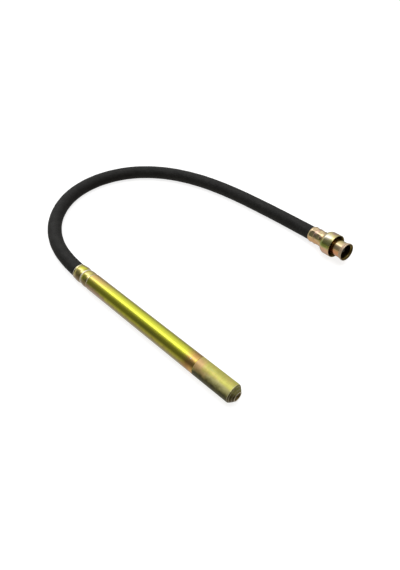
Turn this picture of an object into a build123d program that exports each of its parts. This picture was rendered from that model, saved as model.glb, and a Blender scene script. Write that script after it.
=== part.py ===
"""Concrete vibrator: a flexible-shaft poker with its head, hose and drive-end coupling.

The head lies along X on the plane Z = 0 with its nose towards +X. The origin is under the
middle of the head. The hose leaves the tail end of the head, lies on the same plane in one
large U and ends in a coupling nut and stub, which a drive motor takes.

Lengths are in millimetres. Stations along the head are X values. Stations along the drive
end are distances from the mouth of its ferrule, measured outwards along its own axis.
"""

import os
from math import pi, radians, tan

from build123d import *

# ---------------------------------------------------------------- driving dimensions

# Head
HEAD_RADIUS = 17.5
HEAD_LENGTH = 420.0          # ferrule mouth to nose face
NOSE_LENGTH = 85.5           # seam to nose face
CONE_LENGTH = 9.0
CONE_TIP_RADIUS = 9.2
TIP_RECESS_RADIUS = 7.4
TIP_RECESS_DEPTH = 1.6
TIP_CENTRE_HOLE_RADIUS = 2.2
TIP_CENTRE_HOLE_DEPTH = 6.0
SEAM_CHAMFER = 0.4
JOINT_WALL = 2.25            # of the tube, round its screwed joint at each end
NOSE_SPIGOT_LENGTH = 18.5
TAIL_SPIGOT_LENGTH = 24.0
FERRULE_LENGTH = 46.0
FERRULE_MOUTH_WALL = 1.0
FERRULE_BULGE_WALL = 2.1
FERRULE_GROOVE_WALL = 0.7
FERRULE_GROOVE_HALF_WIDTH = 1.1
FERRULE_LIP_LENGTH = 3.0
CONNECTOR_FLANGE_LENGTH = 2.0
O_RING_FROM_JOINT = 4.0
LOCK_PIN_RADIUS = 1.5
LOCK_PIN_FROM_SEAM = 12.0
LOCK_PIN_ANGLE = 20.0        # degrees from the top of the head, towards -Y

# Rolling bearings, all of one size
BEARING_RADIUS = 13.0
BEARING_BORE_RADIUS = 5.0
BEARING_WIDTH = 8.0
BEARING_PITCH_RADIUS = 9.0
BALL_RADIUS = 2.38
BALL_COUNT = 7
RACE_SHOULDER = 1.6          # from the pitch radius to a race's land
CAGE_HALF_WIDTH = 3.1
CAGE_HALF_THICKNESS = 0.8
BEARING_GAP = 2.6            # spacer between the two rear bearings
SNAP_RING_WIDTH = 1.2
SNAP_RING_DEPTH = 1.1        # inwards from the bore
SNAP_GROOVE_DEPTH = 1.2
SEAL_WIDTH = 7.0
O_RING_SECTION_RADIUS = 0.7

# Eccentric rotor
ROTOR_GAP = 1.5              # between the mass and the tube's bore
ROTOR_CUT_HEIGHT = 1.0       # top of the eccentric mass above the shaft's axis
ROTOR_END_GAP = 6.0
ROTOR_SHOULDER_RADIUS = 6.4
ROTOR_TONGUE_SIDE = 6.4
ROTOR_TONGUE_LENGTH = 12.0
ROTOR_TAIL_STUB = 13.0

# Hose and flexible shaft
HOSE_RADIUS = 15.25
CORE_RADIUS = 5.0
CORE_FITTING_WALL = 1.2
SPIGOT_WALL = 1.95
LINER_WALL = 2.0
BRAID_WALL = 1.0
HOSE_INSERTION = 28.0        # hose inside each ferrule
CORE_SOCKET_DEPTH = 18.0
FITTING_WEB = 2.0            # solid metal past the end of the core
SPIGOT_BARB_DEPTH = 0.6
SPIGOT_BARB_PITCH = 6.0
SPIGOT_RECESS = 2.0          # spigot's tip inside the ferrule's mouth

# Drive end
DRIVE_FERRULE_LENGTH = 34.5
DRIVE_FERRULE_WALL = 1.9
DRIVE_FERRULE_END_LENGTH = 4.0
CRIMP_WIDTH = 10.0
CRIMP_WALL = 1.0             # of the ferrule at the middle of a flat
CRIMP_SIDES = 8
NECK_DEPTH = 1.75            # the neck's radius below the hose's
NUT_RADIUS = 24.5
NUT_WALL = 2.1
NUT_LENGTH = 29.2
NUT_DOME_LENGTH = 8.9
NUT_BACK_WALL = 8.4
NUT_BACK_RIM = 2.4           # flat ring round the hole in the nut's back
NUT_TRAVEL = 2.0
THREAD_PITCH = 2.0
THREAD_DEPTH = 0.8
WASHER_THICKNESS = 2.0
FLANGE_THICKNESS = 3.6
FLANGE_GAP = 2.0             # between the flange's edge and the nut's bore
STUB_RADIUS = 17.0
STUB_WALL = 2.6
STUB_TUBE_LENGTH = 42.8      # flange to front
STUB_LIP_HEIGHT = 1.9
STUB_LIP_LENGTH = 3.0
STUB_GROOVE_DEPTH = 0.8
STUB_GROOVE_LENGTH = 2.0
STUB_BEAD_HEIGHT = 0.7
STUB_BEAD_LENGTH = 2.4
BUSH_LENGTH = 8.0
BUSH_RECESS = 24.0           # bush to the stub's front
DRIVE_COLLAR_HEIGHT = 1.8
DRIVE_TANG_SIDE = 9.0
DRIVE_TANG_RECESS = 10.0
DRIVE_JOURNAL_OVERHANG = 3.0
CIRCLIP_WIDTH = 1.2
CIRCLIP_GROOVE_DEPTH = 1.0
CIRCLIP_DEPTH = 1.8          # inwards from the stub's bore

# Clearances
SCREW_CLEARANCE = 0.04       # between the two halves of a screwed joint
SEAT_CLEARANCE = 0.02        # races and seals in their seats
SHAFT_CLEARANCE = 0.05       # running fit of a seal, bush or socket on a shaft
BALL_CLEARANCE = 0.05
HOSE_CLEARANCE = 0.05        # hose in its ferrule and on its spigot
LAYER_CLEARANCE = 0.1        # between the layers of the hose
SIDE_CLEARANCE = 0.2         # axial, between stacked pieces
FREE_CLEARANCE = 0.3         # between pieces that only stay clear

# ---------------------------------------------------------------- radii

JOINT_RADIUS = HEAD_RADIUS - JOINT_WALL
TUBE_BORE_RADIUS = BEARING_RADIUS + SEAT_CLEARANCE
SNAP_GROOVE_RADIUS = TUBE_BORE_RADIUS + SNAP_GROOVE_DEPTH
ROTOR_RADIUS = BEARING_RADIUS - ROTOR_GAP

CORE_FITTING_RADIUS = CORE_RADIUS + CORE_FITTING_WALL
FITTING_BORE_RADIUS = CORE_FITTING_RADIUS + FREE_CLEARANCE
SPIGOT_RADIUS = FITTING_BORE_RADIUS + SPIGOT_WALL
LINER_INNER_RADIUS = SPIGOT_RADIUS + HOSE_CLEARANCE
LINER_OUTER_RADIUS = LINER_INNER_RADIUS + LINER_WALL
BRAID_INNER_RADIUS = LINER_OUTER_RADIUS + LAYER_CLEARANCE
BRAID_OUTER_RADIUS = BRAID_INNER_RADIUS + BRAID_WALL
JACKET_INNER_RADIUS = BRAID_OUTER_RADIUS + LAYER_CLEARANCE

FERRULE_BORE_RADIUS = HOSE_RADIUS + HOSE_CLEARANCE
CONNECTOR_RADIUS = FERRULE_BORE_RADIUS - 2 * HOSE_CLEARANCE
FERRULE_MOUTH_RADIUS = FERRULE_BORE_RADIUS + FERRULE_MOUTH_WALL
FERRULE_BULGE_RADIUS = FERRULE_BORE_RADIUS + FERRULE_BULGE_WALL
FERRULE_GROOVE_RADIUS = FERRULE_BORE_RADIUS + FERRULE_GROOVE_WALL
DRIVE_FERRULE_RADIUS = FERRULE_BORE_RADIUS + DRIVE_FERRULE_WALL

NECK_RADIUS = HOSE_RADIUS - NECK_DEPTH
NUT_HOLE_RADIUS = NECK_RADIUS + FREE_CLEARANCE
NUT_BORE_RADIUS = NUT_RADIUS - NUT_WALL
FLANGE_RADIUS = NUT_BORE_RADIUS - FLANGE_GAP
STUB_BORE_RADIUS = STUB_RADIUS - STUB_WALL
STUB_LIP_RADIUS = STUB_RADIUS + STUB_LIP_HEIGHT
DRIVE_COLLAR_RADIUS = CORE_FITTING_RADIUS + DRIVE_COLLAR_HEIGHT

# ---------------------------------------------------------------- stations along the head

NOSE_FACE = HEAD_LENGTH / 2
SEAM = NOSE_FACE - NOSE_LENGTH
MOUTH = -HEAD_LENGTH / 2
TUBE_TAIL = MOUTH + FERRULE_LENGTH
HOSE_END = MOUTH + HOSE_INSERTION

SEAL_TAIL = TUBE_TAIL + TAIL_SPIGOT_LENGTH + SIDE_CLEARANCE
REAR_BEARING_1 = SEAL_TAIL + SEAL_WIDTH + SIDE_CLEARANCE
REAR_BEARING_2 = REAR_BEARING_1 + BEARING_WIDTH + BEARING_GAP
REAR_SNAP = REAR_BEARING_2 + BEARING_WIDTH + SIDE_CLEARANCE
FRONT_BEARING = SEAM + NOSE_SPIGOT_LENGTH
FRONT_SNAP = FRONT_BEARING - SIDE_CLEARANCE - SNAP_RING_WIDTH
FRONT_SHOULDER = FRONT_BEARING + BEARING_WIDTH + SIDE_CLEARANCE

ROTOR_TAIL = REAR_BEARING_1 - ROTOR_TAIL_STUB
MASS_TAIL = REAR_SNAP + ROTOR_END_GAP
MASS_FRONT = FRONT_SNAP - ROTOR_END_GAP
FITTING_FRONT = ROTOR_TAIL - FREE_CLEARANCE
TONGUE_TAIL = ROTOR_TAIL - ROTOR_TONGUE_LENGTH
CORE_TAIL = TONGUE_TAIL - 2 * FREE_CLEARANCE - FITTING_WEB

# ---------------------------------------------------------------- stations along the drive end

DRIVE_SEAT = DRIVE_FERRULE_LENGTH - DRIVE_FERRULE_END_LENGTH
NUT_BACK = DRIVE_FERRULE_LENGTH + NUT_TRAVEL + 2 * FREE_CLEARANCE
NUT_SHOULDER = NUT_BACK + NUT_DOME_LENGTH
NUT_FLOOR = NUT_BACK + NUT_BACK_WALL
NUT_FRONT = NUT_BACK + NUT_LENGTH
FLANGE_BACK = NUT_FLOOR + WASHER_THICKNESS + 2 * FREE_CLEARANCE
FLANGE_FRONT = FLANGE_BACK + FLANGE_THICKNESS
STUB_FRONT = FLANGE_FRONT + STUB_TUBE_LENGTH
BUSH_FRONT = STUB_FRONT - BUSH_RECESS
BUSH_BACK = BUSH_FRONT - BUSH_LENGTH
BOSS_FRONT = BUSH_BACK - SIDE_CLEARANCE
CIRCLIP_BACK = BUSH_FRONT + 1.5 * SIDE_CLEARANCE
TANG_BACK = BUSH_FRONT + DRIVE_JOURNAL_OVERHANG
TANG_FRONT = STUB_FRONT - DRIVE_TANG_RECESS
DRIVE_CORE_START = HOSE_INSERTION + 2 * FITTING_WEB
DRIVE_CORE_END = DRIVE_CORE_START + CORE_SOCKET_DEPTH
COLLAR_BACK = DRIVE_CORE_END + FITTING_WEB + FREE_CLEARANCE

# ---------------------------------------------------------------- route of the hose

# Points of the middle line, end to end. The first run is the axis of the head and the last
# one is the axis of the drive end, which is high enough for the nut to lie on the ground.
LYING = HOSE_RADIUS + HOSE_CLEARANCE
DRIVE_HEIGHT = NUT_RADIUS - 2.5
HOSE_ROUTE = [
    (HOSE_END, 0, HEAD_RADIUS),
    (HOSE_END - 86, 0, HEAD_RADIUS),
    (-377, 44, LYING),
    (-445, 125, LYING),
    (-461, 217, LYING),
    (-430, 304, LYING),
    (-364, 367, LYING),
    (-276, 404, LYING),
    (-178, 420, LYING),
    (-62, 423, LYING),
    (42.6, 421.3, LYING),
    (92.3, 411.9, DRIVE_HEIGHT),
]


# ---------------------------------------------------------------- helpers

def turned(*outline):
    """Return the solid that an outline of (station, radius) points sweeps about X."""
    return revolve(make_face(Polyline(*outline, close=True)), Axis.X)


def turned_edges(*edges):
    """Return the solid that a closed chain of edges in the XY plane sweeps about X."""
    return revolve(make_face(list(edges)), Axis.X)


def ring(start, end, outer, inner):
    """Return a plain ring about X from one station to another."""
    return turned((start, inner), (end, inner), (end, outer), (start, outer))


def rod(start, end, radius):
    """Return a plain round bar about X from one station to another."""
    return turned((start, 0), (end, 0), (end, radius), (start, radius))


def square_bar(start, end, side):
    """Return a square bar about X from one station to another."""
    middle = (start + end) / 2
    return Pos(middle, 0, 0) * Box(end - start, side, side)


def in_head(shape):
    """Lift a piece made about X to the axis of the head."""
    return Pos(0, 0, HEAD_RADIUS) * shape


def save(shape, node):
    """Write one node to its STEP file."""
    export_step(Compound(shape.solids()), f"parts/{node}.step")


# ---------------------------------------------------------------- tubes along the route

def corner_radii(points):
    """Return the arc radius at each inner point: 0.45 of the shorter run over tan(half turn)."""
    radii = []
    for before, here, after in zip(points, points[1:], points[2:]):
        run_in = Vector(*here) - Vector(*before)
        run_out = Vector(*after) - Vector(*here)
        half_turn = radians(run_in.get_angle(run_out)) / 2
        radii.append(0.45 * min(run_in.length, run_out.length) / tan(half_turn))
    return radii


def lengthened(points, start_extra, end_extra):
    """Move the two ends of a route outwards along its first and last runs."""
    first, second = Vector(*points[0]), Vector(*points[1])
    last, before = Vector(*points[-1]), Vector(*points[-2])
    start = first + (first - second).normalized() * start_extra
    end = last + (last - before).normalized() * end_extra
    return [tuple(start)] + list(points[1:-1]) + [tuple(end)]


def route_tube(points, radii, outer, inner=0.0):
    """Return a round tube, or a bar, along a route of straight runs and tangent arcs."""
    path = FilletPolyline(*points, radius=radii)
    section = Circle(outer)
    if inner:
        section = section - Circle(inner)
    solid = sweep(Plane(path @ 0, z_dir=path % 0) * section, path=path)
    area = pi * (outer**2 - inner**2)
    print(f"  tube r {outer}: length {path.length:.1f}, volume/section {solid.volume / area:.1f}")
    return solid


HOSE_RADII = corner_radii(HOSE_ROUTE)


def drive_end_place():
    """Return the place of the drive end: X along the last run, Y level, origin at the mouth."""
    end = Vector(*HOSE_ROUTE[-1])
    axis = (end - Vector(*HOSE_ROUTE[-2])).normalized()
    level = Vector(0, 0, 1).cross(axis).normalized()
    return Location(Plane(origin=end - axis * HOSE_INSERTION, x_dir=axis, z_dir=axis.cross(level)))


DRIVE_PLACE = drive_end_place()


# ---------------------------------------------------------------- head casing

def head_tube():
    """Tube of the head: bored for the bearings, with a screwed joint at each end."""
    tail_joint = TUBE_TAIL + TAIL_SPIGOT_LENGTH
    nose_joint = SEAM - NOSE_SPIGOT_LENGTH
    body = turned(
        (TUBE_TAIL, JOINT_RADIUS),
        (tail_joint, JOINT_RADIUS),
        (tail_joint, TUBE_BORE_RADIUS),
        (nose_joint, TUBE_BORE_RADIUS),
        (nose_joint, JOINT_RADIUS),
        (SEAM, JOINT_RADIUS),
        (SEAM, HEAD_RADIUS - SEAM_CHAMFER),
        (SEAM - SEAM_CHAMFER, HEAD_RADIUS),
        (TUBE_TAIL + SEAM_CHAMFER, HEAD_RADIUS),
        (TUBE_TAIL, HEAD_RADIUS - SEAM_CHAMFER),
    )
    body -= ring(REAR_SNAP, REAR_SNAP + SNAP_RING_WIDTH + SIDE_CLEARANCE, SNAP_GROOVE_RADIUS, 10)
    return in_head(body) - lock_pin_bar(LOCK_PIN_RADIUS + SEAT_CLEARANCE)


def nose_cap():
    """Nose: steel cap with a wear cone, screwed into the tube, which seats the front bearing."""
    spigot_tail = SEAM - NOSE_SPIGOT_LENGTH
    spigot_radius = JOINT_RADIUS - SCREW_CLEARANCE
    cone_base = NOSE_FACE - CONE_LENGTH
    recess_floor = NOSE_FACE - TIP_RECESS_DEPTH
    hole_floor = recess_floor - TIP_CENTRE_HOLE_DEPTH
    body = turned(
        (spigot_tail, TUBE_BORE_RADIUS),
        (FRONT_SHOULDER, TUBE_BORE_RADIUS),
        (FRONT_SHOULDER, BEARING_PITCH_RADIUS),
        (FRONT_SHOULDER + 10, BEARING_PITCH_RADIUS),
        (FRONT_SHOULDER + 15, 0),
        (hole_floor - TIP_CENTRE_HOLE_RADIUS / 2, 0),
        (hole_floor, TIP_CENTRE_HOLE_RADIUS),
        (recess_floor, TIP_CENTRE_HOLE_RADIUS),
        (recess_floor, TIP_RECESS_RADIUS),
        (NOSE_FACE, TIP_RECESS_RADIUS + 0.4),
        (NOSE_FACE, CONE_TIP_RADIUS - 0.3),
        (NOSE_FACE - 0.3, CONE_TIP_RADIUS),
        (cone_base, HEAD_RADIUS - 0.3),
        (cone_base - 0.6, HEAD_RADIUS),
        (SEAM + SEAM_CHAMFER, HEAD_RADIUS),
        (SEAM, HEAD_RADIUS - SEAM_CHAMFER),
        (SEAM, spigot_radius),
        (spigot_tail, spigot_radius),
    )
    body -= o_ring_groove(SEAM - O_RING_FROM_JOINT)
    body -= ring(FRONT_SNAP - SIDE_CLEARANCE, FRONT_BEARING - SIDE_CLEARANCE, SNAP_GROOVE_RADIUS, 10)
    return in_head(body) - lock_pin_bar(LOCK_PIN_RADIUS + SEAT_CLEARANCE)


def o_ring_groove(station):
    """Return the ring cut from a spigot for an O-ring."""
    floor = JOINT_RADIUS - 2 * O_RING_SECTION_RADIUS - 2 * SCREW_CLEARANCE
    return ring(station - 1.0, station + 1.0, JOINT_RADIUS + 1, floor)


def o_ring(station):
    """O-ring in its groove, just clear of the tube's bore and of the groove's floor."""
    middle = JOINT_RADIUS - SCREW_CLEARANCE - O_RING_SECTION_RADIUS
    section = Pos(station, middle) * Circle(O_RING_SECTION_RADIUS)
    return in_head(revolve(section, Axis.X))


def lock_pin_bar(radius):
    """Return a radial bar through the tube's wall and the nose's spigot."""
    length = HEAD_RADIUS - TUBE_BORE_RADIUS - 1.0
    bar = Cylinder(radius, length, align=(Align.CENTER, Align.CENTER, Align.MAX))
    upright = Pos(SEAM - LOCK_PIN_FROM_SEAM, 0, HEAD_RADIUS) * bar
    return in_head(upright.rotate(Axis.X, LOCK_PIN_ANGLE))


def lock_pin():
    """Pin that locks the nose in the tube, filed flush with the head."""
    skin = rod(MOUTH, NOSE_FACE, HEAD_RADIUS)
    return lock_pin_bar(LOCK_PIN_RADIUS) & in_head(skin)


def barbed_spigot(start, end):
    """Hollow spigot that enters the hose, with shallow barbs facing the hose's end."""
    outline = [(start, FITTING_BORE_RADIUS), (start, SPIGOT_RADIUS - SPIGOT_BARB_DEPTH)]
    station = start
    while station + SPIGOT_BARB_PITCH <= end - 1:
        station += SPIGOT_BARB_PITCH
        outline += [(station, SPIGOT_RADIUS), (station, SPIGOT_RADIUS - SPIGOT_BARB_DEPTH)]
    outline += [(end, SPIGOT_RADIUS - SPIGOT_BARB_DEPTH), (end, FITTING_BORE_RADIUS)]
    return turned(*outline)


def tail_connector():
    """Connector between the head's tube and the hose."""
    flange_tail = TUBE_TAIL - CONNECTOR_FLANGE_LENGTH
    spigot_front = TUBE_TAIL + TAIL_SPIGOT_LENGTH
    spigot_radius = JOINT_RADIUS - SCREW_CLEARANCE
    body = ring(HOSE_END, flange_tail, CONNECTOR_RADIUS, FITTING_BORE_RADIUS)
    body += ring(flange_tail, TUBE_TAIL, FERRULE_GROOVE_RADIUS, FITTING_BORE_RADIUS)
    body += ring(TUBE_TAIL, spigot_front, spigot_radius, FITTING_BORE_RADIUS)
    body += barbed_spigot(MOUTH + SPIGOT_RECESS, HOSE_END)
    body -= o_ring_groove(TUBE_TAIL + O_RING_FROM_JOINT)
    return in_head(body)


def tail_ferrule():
    """Ferrule swaged over the hose at the head: a lip at its mouth and two round bulges."""
    end = TUBE_TAIL - CONNECTOR_FLANGE_LENGTH - FREE_CLEARANCE
    lip = MOUTH + FERRULE_LIP_LENGTH
    groove = (lip + end) / 2
    mouth, top, low = FERRULE_MOUTH_RADIUS, FERRULE_BULGE_RADIUS, FERRULE_GROOVE_RADIUS
    half = FERRULE_GROOVE_HALF_WIDTH
    bore = FERRULE_BORE_RADIUS
    return in_head(turned_edges(
        Line((MOUTH, bore), (MOUTH, mouth - 0.4)),
        ThreePointArc((MOUTH, mouth - 0.4), (MOUTH + 1.2, mouth), (lip, low)),
        ThreePointArc((lip, low), ((lip + groove - half) / 2, top), (groove - half, low)),
        ThreePointArc((groove - half, low), (groove, low - 0.5), (groove + half, low)),
        ThreePointArc((groove + half, low), ((groove + half + end) / 2, top), (end, low)),
        Line((end, low), (end, bore)),
        Line((end, bore), (MOUTH, bore)),
    ))


# ---------------------------------------------------------------- bearings, seal and rotor

def race(start, outer, inner, groove_radius):
    """Return one race of a bearing, with the ball groove cut as a torus."""
    middle = start + BEARING_WIDTH / 2
    groove = Pos(middle, BEARING_PITCH_RADIUS) * Circle(groove_radius)
    return in_head(ring(start, start + BEARING_WIDTH, outer, inner) - revolve(groove, Axis.X))


def outer_race(start):
    """Outer race, fixed in the casing."""
    land = BEARING_PITCH_RADIUS + RACE_SHOULDER
    return race(start, BEARING_RADIUS, land, BALL_RADIUS + BALL_CLEARANCE)


def inner_race(start):
    """Inner race, on the rotor's journal."""
    land = BEARING_PITCH_RADIUS - RACE_SHOULDER
    return race(start, land, BEARING_BORE_RADIUS, BALL_RADIUS + BALL_CLEARANCE)


def ball_places(start):
    """Return the place of each ball of a bearing."""
    middle = start + BEARING_WIDTH / 2
    angles = [360 * index / BALL_COUNT for index in range(BALL_COUNT)]
    return [in_head(Rot(angle, 0, 0) * Pos(middle, 0, BEARING_PITCH_RADIUS)) for angle in angles]


def balls(start):
    """Balls of one bearing."""
    return Compound([place * Sphere(BALL_RADIUS) for place in ball_places(start)])


def cage(start):
    """Ring with a pocket for each ball."""
    middle = start + BEARING_WIDTH / 2
    outer = BEARING_PITCH_RADIUS + CAGE_HALF_THICKNESS
    inner = BEARING_PITCH_RADIUS - CAGE_HALF_THICKNESS
    band = in_head(ring(middle - CAGE_HALF_WIDTH, middle + CAGE_HALF_WIDTH, outer, inner))
    for place in ball_places(start):
        band -= place * Sphere(BALL_RADIUS + 2 * BALL_CLEARANCE)
    return band


def bearing_spacer():
    """Ring between the outer races of the two rear bearings."""
    start = REAR_BEARING_1 + BEARING_WIDTH + SIDE_CLEARANCE
    end = REAR_BEARING_2 - SIDE_CLEARANCE
    return in_head(ring(start, end, BEARING_RADIUS, BEARING_PITCH_RADIUS + RACE_SHOULDER))


def snap_ring(start):
    """Open ring that keeps a bearing from moving inwards."""
    outer = SNAP_GROOVE_RADIUS - SIDE_CLEARANCE
    body = ring(start, start + SNAP_RING_WIDTH, outer, TUBE_BORE_RADIUS - SNAP_RING_DEPTH)
    gap = Pos(start + SNAP_RING_WIDTH / 2, 0, outer) * Box(2 * SNAP_RING_WIDTH, 5, 2 * outer - 8)
    return in_head(body - gap)


def oil_seal():
    """Lip seal on the rotor's tail journal: a casing ring and a lip that thins to the shaft."""
    lip_radius = BEARING_BORE_RADIUS + SHAFT_CLEARANCE
    front = SEAL_TAIL + SEAL_WIDTH
    return in_head(turned(
        (SEAL_TAIL, BEARING_RADIUS),
        (SEAL_TAIL, 7.5),
        (SEAL_TAIL + 1.5, 7.5),
        (SEAL_TAIL + 3.0, lip_radius),
        (SEAL_TAIL + 4.0, lip_radius),
        (SEAL_TAIL + 4.8, 7.0),
        (SEAL_TAIL + 2.5, 8.5),
        (SEAL_TAIL + 2.5, BEARING_RADIUS - 1.5),
        (front, BEARING_RADIUS - 1.5),
        (front, BEARING_RADIUS),
    ))


def eccentric_rotor():
    """Rotor: journals, shoulders and one heavy mass below the axis, with a square tongue."""
    journal = BEARING_BORE_RADIUS - SEAT_CLEARANCE
    front = FRONT_SHOULDER + 2.0
    body = rod(ROTOR_TAIL, front, journal)
    body += rod(REAR_SNAP - SIDE_CLEARANCE, FRONT_BEARING, ROTOR_SHOULDER_RADIUS)
    mass = rod(MASS_TAIL, MASS_FRONT, ROTOR_RADIUS)
    length = MASS_FRONT - MASS_TAIL
    cut = Box(length, 2 * ROTOR_RADIUS, ROTOR_RADIUS, align=(Align.MIN, Align.CENTER, Align.MIN))
    body += mass - Pos(MASS_TAIL, 0, ROTOR_CUT_HEIGHT) * cut
    body += square_bar(TONGUE_TAIL, ROTOR_TAIL, ROTOR_TONGUE_SIDE)
    return in_head(body)


def core_head_fitting():
    """Sleeve on the head end of the flexible shaft, with a square socket for the rotor."""
    tail = CORE_TAIL - CORE_SOCKET_DEPTH
    body = rod(tail, FITTING_FRONT, CORE_FITTING_RADIUS)
    body -= rod(tail, CORE_TAIL + FREE_CLEARANCE, CORE_RADIUS + SHAFT_CLEARANCE)
    socket_side = ROTOR_TONGUE_SIDE + 2 * SHAFT_CLEARANCE
    body -= square_bar(TONGUE_TAIL - FREE_CLEARANCE, FITTING_FRONT, socket_side)
    return in_head(body)


# ---------------------------------------------------------------- drive end, about its own axis

def drive_ferrule():
    """Ferrule pressed on the hose at the drive end by two bands of flats."""
    end = DRIVE_FERRULE_LENGTH
    body = turned(
        (0, FERRULE_BORE_RADIUS),
        (0, FERRULE_MOUTH_RADIUS - 0.4),
        (1.2, FERRULE_MOUTH_RADIUS + 0.2),
        (4.5, DRIVE_FERRULE_RADIUS),
        (end - 3.0, DRIVE_FERRULE_RADIUS),
        (end, FERRULE_MOUTH_RADIUS - 1.0),
        (end, NECK_RADIUS + HOSE_CLEARANCE),
        (DRIVE_SEAT, NECK_RADIUS + HOSE_CLEARANCE),
        (DRIVE_SEAT, FERRULE_BORE_RADIUS),
    )
    flats = RegularPolygon(FERRULE_BORE_RADIUS + CRIMP_WALL, CRIMP_SIDES, major_radius=False)
    band = extrude(Plane.YZ * (Circle(DRIVE_FERRULE_RADIUS + 2) - flats), CRIMP_WIDTH)
    space = (end - 2 * CRIMP_WIDTH) / 3
    for station in (space, 2 * space + CRIMP_WIDTH):
        body -= Pos(station, 0, 0) * band
    return body


def drive_connector():
    """Barbed spigot, collar under the ferrule, neck for the nut, flange and boss for the stub."""
    collar_front = DRIVE_SEAT - SIDE_CLEARANCE
    step = COLLAR_BACK - FREE_CLEARANCE
    boss_radius = STUB_BORE_RADIUS - SCREW_CLEARANCE
    body = turned(
        (HOSE_INSERTION, FITTING_BORE_RADIUS),
        (step, FITTING_BORE_RADIUS),
        (step, DRIVE_COLLAR_RADIUS + FREE_CLEARANCE),
        (BOSS_FRONT, DRIVE_COLLAR_RADIUS + FREE_CLEARANCE),
        (BOSS_FRONT, boss_radius),
        (FLANGE_FRONT, boss_radius),
        (FLANGE_FRONT, FLANGE_RADIUS),
        (FLANGE_BACK, FLANGE_RADIUS),
        (FLANGE_BACK, NECK_RADIUS),
        (collar_front, NECK_RADIUS),
        (collar_front, CONNECTOR_RADIUS),
        (HOSE_INSERTION, CONNECTOR_RADIUS),
    )
    return body + barbed_spigot(SPIGOT_RECESS, HOSE_INSERTION)


def drive_stub():
    """Stub: a tube screwed on the connector's boss, with a bead, a groove and a lip."""
    lip_back = STUB_FRONT - STUB_LIP_LENGTH
    groove_back = lip_back - STUB_GROOVE_LENGTH
    bead_back = groove_back - STUB_BEAD_LENGTH
    bead_radius = STUB_RADIUS + STUB_BEAD_HEIGHT
    body = turned(
        (FLANGE_FRONT, STUB_BORE_RADIUS),
        (STUB_FRONT - 1.8, STUB_BORE_RADIUS),
        (STUB_FRONT, STUB_LIP_RADIUS - 2.0),
        (STUB_FRONT, STUB_LIP_RADIUS - 0.4),
        (STUB_FRONT - 0.4, STUB_LIP_RADIUS),
        (lip_back, STUB_LIP_RADIUS),
        (lip_back, STUB_RADIUS - STUB_GROOVE_DEPTH),
        (groove_back, STUB_RADIUS - STUB_GROOVE_DEPTH),
        (groove_back, STUB_RADIUS),
        (groove_back - 0.4, bead_radius),
        (bead_back + 0.4, bead_radius),
        (bead_back, STUB_RADIUS),
        (FLANGE_FRONT, STUB_RADIUS),
    )
    clip_front = BUSH_FRONT + CIRCLIP_WIDTH + 2 * SIDE_CLEARANCE
    clip_radius = STUB_BORE_RADIUS + CIRCLIP_GROOVE_DEPTH
    return body - ring(BUSH_FRONT + SIDE_CLEARANCE, clip_front, clip_radius, STUB_BORE_RADIUS - 1)


def thrust_washer():
    """Washer between the nut's back wall and the stub's flange."""
    start = NUT_FLOOR + FREE_CLEARANCE
    return ring(start, start + WASHER_THICKNESS, FLANGE_RADIUS, NUT_HOLE_RADIUS)


def coupling_nut():
    """Cup-shaped nut: a domed back that runs on the neck and a thin threaded skirt."""
    bore = NUT_BORE_RADIUS
    inner = [(NUT_BACK, NUT_HOLE_RADIUS), (NUT_FLOOR, NUT_HOLE_RADIUS), (NUT_FLOOR, bore)]
    station = FLANGE_FRONT + 1.0
    while station + THREAD_PITCH < NUT_FRONT - 1.0:
        inner += [(station, bore), (station + THREAD_PITCH / 2, bore + THREAD_DEPTH)]
        station += THREAD_PITCH
    inner += [(station, bore), (NUT_FRONT - 0.8, bore), (NUT_FRONT, bore + 0.8)]
    outer = [
        (NUT_FRONT, NUT_RADIUS - 0.5),
        (NUT_FRONT - 0.5, NUT_RADIUS),
        (NUT_SHOULDER + 1.5, NUT_RADIUS),
    ]
    points = inner + outer
    edges = [Line(first, second) for first, second in zip(points, points[1:])]
    rim_radius = NUT_HOLE_RADIUS + NUT_BACK_RIM
    dome_end = (NUT_BACK, rim_radius)
    dome_middle = ((NUT_BACK + NUT_SHOULDER) / 2 - 0.8, (rim_radius + NUT_RADIUS) / 2 + 1.2)
    edges += [
        ThreePointArc(outer[-1], dome_middle, dome_end),
        Line(dome_end, inner[0]),
    ]
    return turned_edges(*edges)


def stub_bush():
    """Bush in the stub that guides the drive end of the flexible shaft."""
    inner = CORE_FITTING_RADIUS + SHAFT_CLEARANCE
    return ring(BUSH_BACK, BUSH_FRONT, STUB_BORE_RADIUS - SEAT_CLEARANCE, inner)


def bush_circlip():
    """Open ring that keeps the bush in the stub."""
    outer = STUB_BORE_RADIUS + CIRCLIP_GROOVE_DEPTH - SIDE_CLEARANCE
    inner = STUB_BORE_RADIUS - CIRCLIP_DEPTH
    body = ring(CIRCLIP_BACK, CIRCLIP_BACK + CIRCLIP_WIDTH, outer, inner)
    gap = Pos(CIRCLIP_BACK + CIRCLIP_WIDTH / 2, 0, outer) * Box(2 * CIRCLIP_WIDTH, 6, 8)
    return body - gap


def core_drive_fitting():
    """Sleeve, collar, journal and square tang on the drive end of the flexible shaft."""
    journal_back = BUSH_BACK - SIDE_CLEARANCE
    body = rod(DRIVE_CORE_START, COLLAR_BACK, CORE_FITTING_RADIUS)
    body += rod(COLLAR_BACK, journal_back, DRIVE_COLLAR_RADIUS)
    body += rod(journal_back, TANG_BACK, CORE_FITTING_RADIUS)
    body += square_bar(TANG_BACK, TANG_FRONT, DRIVE_TANG_SIDE)
    socket_floor = DRIVE_CORE_END + FREE_CLEARANCE
    return body - rod(DRIVE_CORE_START, socket_floor, CORE_RADIUS + SHAFT_CLEARANCE)


# ---------------------------------------------------------------- write the nodes

os.makedirs("parts", exist_ok=True)

print("arc radii of the hose:", [round(radius) for radius in HOSE_RADII])

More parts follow.
